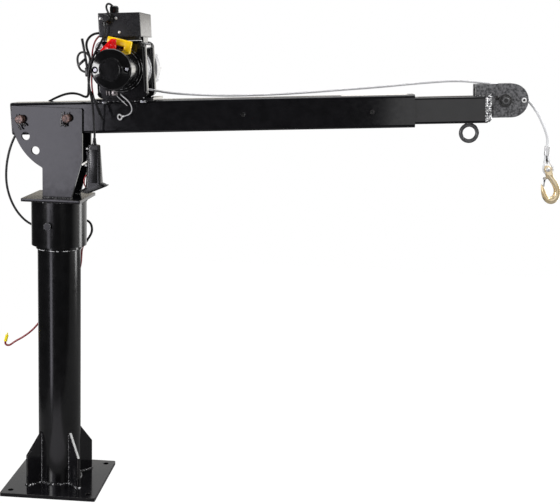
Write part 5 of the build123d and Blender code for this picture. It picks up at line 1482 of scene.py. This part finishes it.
@dataclass
class HookBlock:
    """The forged hook with its pins and latch, in millimetres from its pin."""

    shop: Workshop
    pin: Triple = (1230.0, 0.0, 900.0)
    pin_head: Profile = ((0.0, 3.4), (2.4, 3.0), (4.6, 1.8), (5.8, 0.0), (5.8, -0.6))
    jaw_foot: float = -13.0
    half: float = 8.5
    # Faces of the bow that turn left and down get the dark edge tint: painted shade.
    painted_shade: Pair = (0.75, 0.5)
    latch_pin: Pair = (-5.0, -23.5)
    latch_root: Pair = (3.5, -18.5)
    latch_lean: float = math.radians(15.0)
    lug_half: Pair = (3.3, 2.9)
    lug_round: float = 1.2
    back: Profile = (
        (11.0, -8.0), (16.5, -16.4), (26.6, -28.4), (34.3, -44.0), (37.9, -57.0), (35.1, -72.9),
        (25.8, -83.7), (13.9, -87.4), (1.1, -82.2), (-8.0, -69.6), (-12.0, -52.1), (-12.6, -37.0))
    inside: Profile = (
        (-5.0, -13.4), (1.6, -22.4), (9.6, -31.4), (17.6, -43.6), (20.4, -54.4), (18.2, -64.4),
        (13.6, -68.0), (9.0, -67.6), (4.0, -63.4), (0.2, -55.4), (-4.4, -45.0), (-9.8, -38.6))
    swells: tuple[float, ...] = (0.8, 0.9, 0.95, 0.98, 1.0, 1.0, 1.0, 0.98, 0.92, 0.8, 0.58, 0.2)
    bow_steps: int = 6

    def spot(self, x: float, z: float) -> Vector:
        """Return a point of the hook's middle plane, in metres."""
        return (Vector(self.pin) + Vector((x, 0.0, z))) * MM

    def build(self) -> None:
        """Make the hook's jaw and its forged bow, and dress the rest."""
        jaw = self.shop.copy_of("hook")
        bmesh.ops.bisect_plane(jaw, geom=jaw.verts[:] + jaw.edges[:] + jaw.faces[:],
                               plane_co=self.spot(0.0, self.jaw_foot), plane_no=-UP, clear_outer=True)
        bmesh.ops.holes_fill(jaw, edges=jaw.edges[:], sides=0)
        self.shop.add("hook_jaw", jaw, Coat.GOLD_ZINC, Body.HOOK, ("hook",))
        bow = loft(self._bow_rings(), squareness=2.0, segments=28)
        # Faces turned left and down carry "edge", which paints shade on the bow's underside and left side.
        painted_shade = bow.verts.layers.float.new("edge")
        bow.normal_update()
        for vert in bow.verts:
            vert[painted_shade] = clamp((-vert.normal.x - vert.normal.z - self.painted_shade[0]) / self.painted_shade[1])
        self.shop.add("hook_bow", bow, Coat.GOLD_FORGED, Body.HOOK)
        for side, name in SIDES:
            place = facing(self.spot(0.0, 0.0) + BACK * side * self.half * MM, BACK * side)
            self.shop.add(f"hook_pin_head_{name}", lathe(self.pin_head, place), Coat.TIN_PLATE, Body.HOOK)
        self._latch()
        self.shop.soften(Coat.GOLD_ZINC, hook_pins=0.4)

    def _latch(self) -> None:
        """Make the lug under the jaw and the latch that hangs from it against the tip."""
        pin = self.spot(*self.latch_pin)
        lug = flat_bar(pin, self.spot(*self.latch_root), *self.lug_half, self.lug_round)
        self.shop.add("latch_lug", lug, Coat.GOLD_ZINC, Body.HOOK)
        leaf = self.shop.copy_of("latch")
        bmesh.ops.rotate(leaf, verts=leaf.verts, cent=pin, matrix=Matrix.Rotation(-self.latch_lean, 3, "Y"))
        self.shop.add("latch_leaf", leaf, Coat.BRIGHT_ZINC, Body.LATCH, ("latch",))

    def _bow_rings(self) -> list[Matrix]:
        """Return the rings of the hook's bow, from the jaw to the tip."""
        backs, insides = (line_of([self.spot(*place) for place in side], self.bow_steps)
                          for side in (self.back, self.inside))
        swells = line_of([Vector((swell, 0.0, 0.0)) for swell in self.swells], self.bow_steps)
        return [ring_at((out + within) / 2, (out - within) / 2, BACK * self.half * swell.x * MM)
                for out, within, swell in zip(backs, insides, swells)]


@dataclass
class Wiring:
    """The power cable, its red lead, the hand control's cable and the small wires on the boom."""

    shop: Workshop
    spigot: Triple = (118.333, 218.9, -102.5)
    spigot_drop: float = 13.0
    hand_route: Route = (
        (112, 190, -104), (102, 173, -107), (91, 155, -110), (82, 137, -111.8), (75.5, 118, -112),
        (72.5, 98, -111.5), (73, 78, -109.5), (75, 58, -106), (76.5, 38, -101.5), (76.5, 18, -97),
        (75.5, -2, -92.5), (74.2, -21, -88))
    hand_end: Route = ((112, -84, 950), (111, -82, 934), (111, -82, 919))
    upper_route: Route = (
        (97.5, 204, -62), (89, 204, -62), (78, 201, -65), (68.5, 193, -69.5), (63.5, 181, -75),
        (65, 168, -80), (70.5, 155.5, -84.5), (74.5, 141.5, -89), (74.5, 126, -92), (72, 109, -93),
        (68.5, 91, -91.5), (66, 73, -87), (62.5, 58, -77.5), (55, 51.5, -64), (44, 52, -47.5),
        (30, 56.5, -30), (13, 59.5, -12), (-5, 59.5, 5), (-24, 56.5, 20), (-44, 50.5, 34), (-63, 43.5, 46),
        (-81, 34.5, 55), (-98, 22, 60.5))
    lower_start: float = 18.0
    lower_route: Route = (
        (-98, 68, 967), (-119, 68, 945), (-136, 67, 918), (-148, 66, 888), (-156, 66, 856), (-160, 67, 824),
        (-160, 69, 792), (-154, 72, 760), (-143, 76, 731), (-127, 80, 706), (-106, 83, 687), (-80, 86, 677),
        (-52, 88, 676), (-24, 89, 681), (4, 89, 690), (28, 85, 699), (46, 77, 704), (60, 66.5, 703.5),
        (69.5, 58, 696.5), (73, 54.5, 685), (70.5, 57, 673), (64, 62.5, 662), (57, 68, 653))
    splice: Profile = ((2.4, -3.0), (3.2, -1.0), (3.8, 1.0), (3.6, 5.0), (3.9, 8.0), (3.6, 11.0),
                       (3.8, 15.0), (3.0, 17.0), (2.1, 19.0))
    splice_length: float = 16.0
    red_start: float = 9.0
    red_route: Route = (
        (38.6, 81, 622), (37.6, 81.5, 605), (36.5, 81.5, 586), (32, 82, 566), (22.5, 83, 545.5),
        (8, 83.5, 524), (-10, 82.5, 502), (-29.5, 79.5, 479), (-48, 74, 455), (-65, 68, 431.5),
        (-79, 63, 412.5), (-90.5, 60, 399), (-104.5, 57, 387), (-121, 54, 375.5), (-137, 52, 366.5),
        (-147, 50, 358), (-154, 48.9, 355.2), (-160.6, 48.3, 357.4), (-162.3, 48.1, 363.6),
        (-161, 48, 368.4))
    crimp: Profile = ((2.3, -1.5), (4.4, -0.8), (4.8, 1.0), (4.0, 3.4), (4.0, 6.0), (4.6, 8.0), (4.0, 10.0),
                      (4.0, 13.0), (4.6, 15.5), (4.0, 17.0), (1.6, 17.2), (1.6, 23.0), (0.9, 23.8),
                      (0.0, 23.8))
    loop_route: Route = (
        (72, 123, -102.5), (75, 132, -102.5), (77.5, 142, -102.5), (74, 153, -102.5), (64.5, 160, -102.5),
        (53.5, 158, -102.5), (47, 148.5, -102.5), (46.5, 136, -102.5), (49, 124, -102.5), (55, 115, -102.5),
        (64, 112, -102.5))
    ground_route: Route = (
        (140, 57, -67), (140, 57, -72.5), (143.5, 54.5, -77.5), (149.5, 50, -80.5), (157, 43.5, -81),
        (163.5, 35, -79), (166.5, 25, -74), (165, 15.5, -66.5), (159, 8.5, -59.5), (150, 4.2, -53.5),
        (140, 2.2, -49))
    barrel: Profile = ((0.0, -1.0), (2.4, -1.0), (2.7, 0.0), (2.7, 5.0), (2.0, 6.2), (0.0, 6.4))
    ring: Profile = ((4.2, -0.5), (4.6, -0.9), (7.6, -0.9), (8.0, -0.5), (8.0, 0.5), (7.6, 0.9), (4.6, 0.9),
                     (4.2, 0.5), (4.2, -0.5))
    ring_ahead: float = 12.0
    cut_route: Route = ((130, 53, -66.5), (133.5, 50, -71), (140, 44.5, -75.5), (148, 37.5, -79),
                        (157, 29.5, -81.5))
    bundle_route: Route = (
        (98, 199, -70), (90.5, 192, -75), (85, 181, -81), (82, 168, -87), (80.5, 154, -92), (80, 139, -96),
        (79.5, 124, -98), (78.5, 109, -98), (77, 94, -96), (75.5, 80, -92), (74.5, 67, -85.5),
        (74, 56, -77.5), (74, 47, -70))
    wrist_route: Route = ((98, -82, 848), (91.5, -83, 845), (87.5, -84, 837), (86, -84.5, 828),
                          (86.5, -84, 818), (92, -83, 811))
    wrap_run: Route = ((70.0, 101.0, -102.5), (70.0, 123.0, -102.5))
    wrap_half: float = 6.0
    wrap_round: float = 2.6
    tails: tuple[Route, ...] = (
        ((69.5, 121.0, -103.0), (61.1, 191.1, -104.0)), ((66.5, 143.0, -103.5), (46.2, 126.8, -104.0)),
        ((74.5, 66.0, -103.0), (97.7, -3.9, -91.0)), ((78.0, 58.0, -103.5), (92.5, 8.0, -94.0)))
    tail_section: Triple = (3.1, 0.9, 0.5)
    strip: Route = ((97.0, -88.0, 879.5), (81.6, -88.0, 868.7))
    strip_section: Triple = (2.2, 0.7, 0.4)

    def build(self) -> None:
        """Make the cables and leads."""
        spigot = BOOM.point(*self.spigot)
        hand = [spigot, spigot - BOOM.way(0.0, self.spigot_drop)] + BOOM.points(self.hand_route)
        Cord("hand_cable", "pendant_cable", hand + world_points(self.hand_end), diameter=5.4, length=298.0,
             body=Body.BOOM, coat=Coat.CABLE_JACKET).build(self.shop)
        self._power_cable()
        Cord("slack_loop", "cable_loop", BOOM.points(self.loop_route), diameter=5.2, length=108.0,
             body=Body.BOOM, coat=Coat.CABLE_JACKET).build(self.shop)
        ground = BOOM.points(self.ground_route)
        Cord("earth_wire", "ground_wire", ground, diameter=2.6, length=98.0, body=Body.BOOM,
             coat=Coat.PALE_SHEATH, far_end=FarEnd.FITTING,
             ends=(self._ring_terminal(ground),)).build(self.shop)
        Cord("cut_wire", "", BOOM.points(self.cut_route), diameter=1.8, length=40.0, body=Body.BOOM,
             coat=Coat.PALE_SHEATH, far_end=FarEnd.BARE).build(self.shop)
        Cord("bundle_red_wire", "", BOOM.points(self.bundle_route), diameter=4.0, length=170.0,
             body=Body.BOOM, coat=Coat.DARK_RED_WIRE).build(self.shop)
        Cord("hand_red_wire", "", world_points(self.wrist_route), diameter=3.4, length=43.0,
             body=Body.BOOM, coat=Coat.LEAD_RED).build(self.shop)
        self._ties()

    def _power_cable(self) -> None:
        """Make the power cable from the box to its splice, and the red lead with its crimp."""
        upper = BOOM.points(self.upper_route)
        top = Cord("power_cable_top", "power_cable_upper", upper, diameter=6.0, length=403.0,
                   body=Body.BOOM, coat=Coat.CABLE_JACKET)
        line = line_of(upper)
        mesh = tube_mesh(top.name, [line], top.diameter / 2, roundness=3)
        top.build_mesh(self.shop, mesh, Body.TURRET)
        ahead = (upper[-1] - upper[-2]).normalized() * MM
        lower = [upper[-1], upper[-1] + ahead * self.lower_start] + world_points(self.lower_route)
        sleeve = lathe(self.splice, facing(lower[-1], lower[-1] - lower[-2]), steps=20)
        splice = self.shop.add("splice_sleeve", sleeve, Coat.CABLE_JACKET, Body.TURRET, ("lead_connectors",))
        Cord("power_cable_drop", "power_cable_lower", lower, diameter=6.2, length=601.0, body=Body.TURRET,
             coat=Coat.CABLE_JACKET, far_end=FarEnd.CONNECTOR, ends=(splice,)).build(self.shop)
        ahead = (lower[-1] - lower[-2]).normalized() * MM
        start = lower[-1] + ahead * self.splice_length
        red = [start, start + ahead * self.red_start] + world_points(self.red_route)
        barrel = lathe(self.crimp, facing(red[-1], red[-1] - red[-2]), steps=20)
        crimp = self.shop.add("lead_crimp", barrel, Coat.CRIMP_YELLOW, Body.TURRET)
        Cord("red_fuse_lead", "red_lead", red, diameter=5.2, length=385.0, body=Body.TURRET,
             coat=Coat.LEAD_RED, far_end=FarEnd.CONNECTOR, ends=(crimp,)).build(self.shop)

    def _ring_terminal(self, ground: Line) -> bpy.types.Object:
        """Make the ring terminal at the end of the earth wire, and its barrel.

        Args:
            ground: The wire's route, in metres.

        Returns:
            The terminal.
        """
        ahead = (ground[-1] - ground[-2]).normalized()
        out = (FRONT - ahead * FRONT.dot(ahead)).normalized()
        barrel = lathe(self.barrel, facing(ground[-1], ahead), steps=16)
        self.shop.add("terminal_barrel", barrel, Coat.TIN_PLATE)
        ring = lathe(self.ring, facing(ground[-1] + ahead * self.ring_ahead * MM, out), steps=28)
        return self.shop.add("ring_terminal", ring, Coat.TIN_PLATE)

    def _ties(self) -> None:
        """Make the wrap round the cables, the tails of its ties and the strip on the hand control."""
        wrap = block(*BOOM.points(self.wrap_run), BOOM.way(self.wrap_half), BACK * self.wrap_half * MM,
                     self.wrap_round)
        self.shop.add("cable_wrap", wrap, Coat.CABLE_JACKET)
        for index, route in enumerate(self.tails):
            tail = flat_bar(*BOOM.points(route), *self.tail_section)
            self.shop.add(f"tie_tail_{index}", tail, Coat.BLACK_PLASTIC)
        strip = flat_bar(*world_points(self.strip), *self.strip_section)
        self.shop.add("hand_strip", strip, Coat.WHITE_NYLON)


@dataclass(frozen=True)
class Lamp:
    """A soft rectangular lamp that the camera doesn't see, in metres.

    A brightness of 1 makes its face as bright as the white surround.
    """

    name: str
    place: Triple
    target: Triple
    size: Pair
    brightness: float
    tint: Triple = WHITE

    def hang(self) -> None:
        """Hang the lamp in the scene."""
        light = bpy.data.lights.new(self.name, "AREA")
        light.shape = "RECTANGLE"
        light.size, light.size_y = self.size
        light.energy = self.brightness * math.pi * self.size[0] * self.size[1]
        light.color = self.tint
        lamp = linked(self.name, light)
        lamp.location = self.place
        lamp.rotation_euler = (Vector(self.target) - Vector(self.place)).to_track_quat("-Z", "Y").to_euler()
        lamp.visible_camera = False


@dataclass
class Studio:
    """The pale floor, the soft lamps, the white surround and the camera."""

    focal_px: float = 1011.31
    frame_px: float = 560.0
    sensor_mm: float = 36.0
    eye: Triple = (0.70233, -2.54054, 1.15109)
    yaw: float = math.radians(2.91)
    pitch: float = math.radians(10.97)
    roll: float = math.radians(2.25)
    ambient: float = 0.55
    front_glow: float = 0.03
    front_fade: Pair = (-0.35, 0.1)
    left_fade: Pair = (-0.75, -0.45)
    floor_front: float = -0.65
    floor_left: float = -0.6
    floor_reach: float = 3.0
    floor_tone: float = 0.2
    floor_share: float = 0.92
    floor_glow: float = 1.1
    sky_range: Pair = (-0.2, 0.6)
    sky_tiers: tuple[tuple[float, Triple], ...] = (
        (-0.2, WHITE), (0.015, (1.0, 0.97, 0.9)), (0.04, (0.10, 0.09, 0.075)), (0.17, (0.07, 0.07, 0.07)),
        (0.30, (0.8, 0.8, 0.8)), (0.6, (0.6, 0.6, 0.6)))
    lamps: tuple[Lamp, ...] = (
        Lamp("side_softbox", (-1.15, -2.55, 0.84), (-1.15, 0.0, 0.84), (1.3, 0.88), 3.1, (1.0, 0.98, 1.1)),
        Lamp("inner_softbox", (1.55, -2.55, 0.95), (1.55, 0.0, 0.95), (1.2, 0.9), 1.1),
        Lamp("left_key", (-1.30, -1.80, 1.06), (0.17, -0.18, 1.1), (0.5, 0.75), 19.0),
        Lamp("column_card", (-0.45, -0.85, 0.21), (0.0, 0.0, 0.21), (0.19, 0.52), 2.8, (1.0, 0.98, 1.1)),
        Lamp("collar_card", (-0.45, -0.85, 0.56), (0.0, 0.0, 0.56), (0.19, 0.18), 1.3, (1.0, 0.98, 1.1)),
        Lamp("floor_card", (0.02, -0.46, 0.004), (0.02, -0.46, 1.0), (0.42, 0.5), 0.5, (1.0, 0.96, 1.05)),
        Lamp("right_strip", (2.1, 0.95, 1.2), (0.2, -0.1, 1.2), (0.5, 2.2), 7.0),
        Lamp("rear_card", (0.81, 2.94, 1.30), (0.22, 0.0, 1.22), (0.6, 0.14), 0.8),
        Lamp("rear_screen", (0.88, 3.0, 1.22), (0.24, 0.0, 1.12), (0.36, 0.66), 1.1, (1.0, 0.97, 0.92)),
        Lamp("tip_fill", (1.6, -0.25, 1.42), (0.5, -0.05, 0.5), (0.26, 0.26), 15.0),
        Lamp("gold_card", (-0.85, 3.0, 1.165), (0.0, 0.0, 1.02), (0.8, 0.09), 1.0, (1.0, 0.93, 0.8)),
        Lamp("top_softbox", (0.55, 0.25, 3.2), (0.55, 0.0, 0.8), (2.6, 1.6), 3.2))

    def build(self) -> None:
        """Make the floor, the surround, the lamps and the camera."""
        self._floor()
        self._surround()
        for lamp in self.lamps:
            lamp.hang()
        self._camera()

    def _floor(self) -> None:
        """Lay the pale floor, which stays white to the camera and keeps the crane's shadow."""
        shape = bmesh.new()
        bmesh.ops.create_grid(shape, x_segments=1, y_segments=1, size=self.floor_reach)
        for vert in shape.verts:
            vert.co.y = max(vert.co.y, self.floor_front)
            vert.co.x = max(vert.co.x, self.floor_left)
        mesh = bpy.data.meshes.new("floor")
        shape.to_mesh(mesh)
        shape.free()
        material = bpy.data.materials.new("pale_floor")
        material.use_nodes = True
        graph = Graph(material.node_tree)
        matt = graph.add("BsdfDiffuse", "BSDF", {"Color": (*(self.floor_tone,) * 3, 1.0)})
        glow = graph.add("Emission", "Emission", {"Strength": self.floor_glow})
        share = graph.math("MULTIPLY", graph.add("LightPath", "Is Camera Ray"), self.floor_share)
        graph.feed(material.node_tree.nodes["Material Output"], {
            "Surface": graph.add("MixShader", "Shader", {"Fac": share, 1: matt, 2: glow})})
        mesh.materials.append(material)
        linked("floor", mesh)

    def _surround(self) -> None:
        """Surround the crane with white behind it and a dim room behind the camera."""
        world = bpy.data.worlds.new("studio")
        bpy.context.scene.world = world
        world.use_nodes = True
        graph = Graph(world.node_tree)
        ambient = world.node_tree.nodes["Background"]
        graph.feed(ambient, {"Color": (*WHITE, 1.0), "Strength": self.ambient})
        heading = graph.add("SeparateXYZ", "X", {"Vector": graph.add("TexCoord", "Generated")}).node.outputs
        fades = [graph.remap(heading[axis], fade, (self.front_glow, 1.0))
                 for axis, fade in (("Y", self.front_fade), ("X", self.left_fade))]
        rays = graph.add("LightPath", "Is Camera Ray").node.outputs
        seen = rays["Is Camera Ray"]
        low, high = self.sky_range
        tiers = [((place - low) / (high - low), tone) for place, tone in self.sky_tiers]
        sky = graph.ramp(graph.remap(heading["Z"], self.sky_range), tiers)
        tone = graph.mix(seen, sky, WHITE)
        strength = graph.math("MAXIMUM", graph.math("MINIMUM", *fades), seen)
        backdrop = graph.add("Background", "Background", {"Color": tone, "Strength": strength})
        for kind in ("Is Glossy Ray", "Is Transmission Ray"):
            seen = graph.math("MAXIMUM", seen, rays[kind])
        mix = graph.add("MixShader", "Shader", {"Fac": seen, 1: ambient.outputs["Background"], 2: backdrop})
        graph.feed(world.node_tree.nodes["World Output"], {"Surface": mix})

    def _camera(self) -> None:
        """Set the camera where the photograph was taken from."""
        level = Vector((math.cos(self.yaw), math.sin(self.yaw), 0.0))
        flat = Vector((-math.sin(self.yaw), math.cos(self.yaw), 0.0))
        ahead = flat * math.cos(self.pitch) - UP * math.sin(self.pitch)
        above = level.cross(ahead)
        right = level * math.cos(self.roll) + above * math.sin(self.roll)
        up = above * math.cos(self.roll) - level * math.sin(self.roll)
        data = bpy.data.cameras.new("photo_camera")
        data.sensor_fit = "HORIZONTAL"
        data.sensor_width = self.sensor_mm
        data.lens = self.focal_px * self.sensor_mm / self.frame_px
        camera = linked("photo_camera", data)
        camera.matrix_world = Matrix((right, up, -ahead)).transposed().to_4x4()
        camera.location = self.eye
        bpy.context.scene.camera = camera


def main() -> None:
    """Load the frame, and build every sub-assembly."""
    logging.basicConfig(level=logging.INFO, format="%(message)s")
    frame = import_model()
    bpy.context.scene.view_settings.view_transform = "Standard"
    shop = Workshop(frame["nodes"])
    Studio().build()
    for assembly in (BaseColumn, Turret, OuterBoom, InnerBoom, Winch, ControlBox, HandControl, WireRope,
                     HookBlock, Wiring):
        assembly(shop).build()


if __name__ == "__main__":
    main()
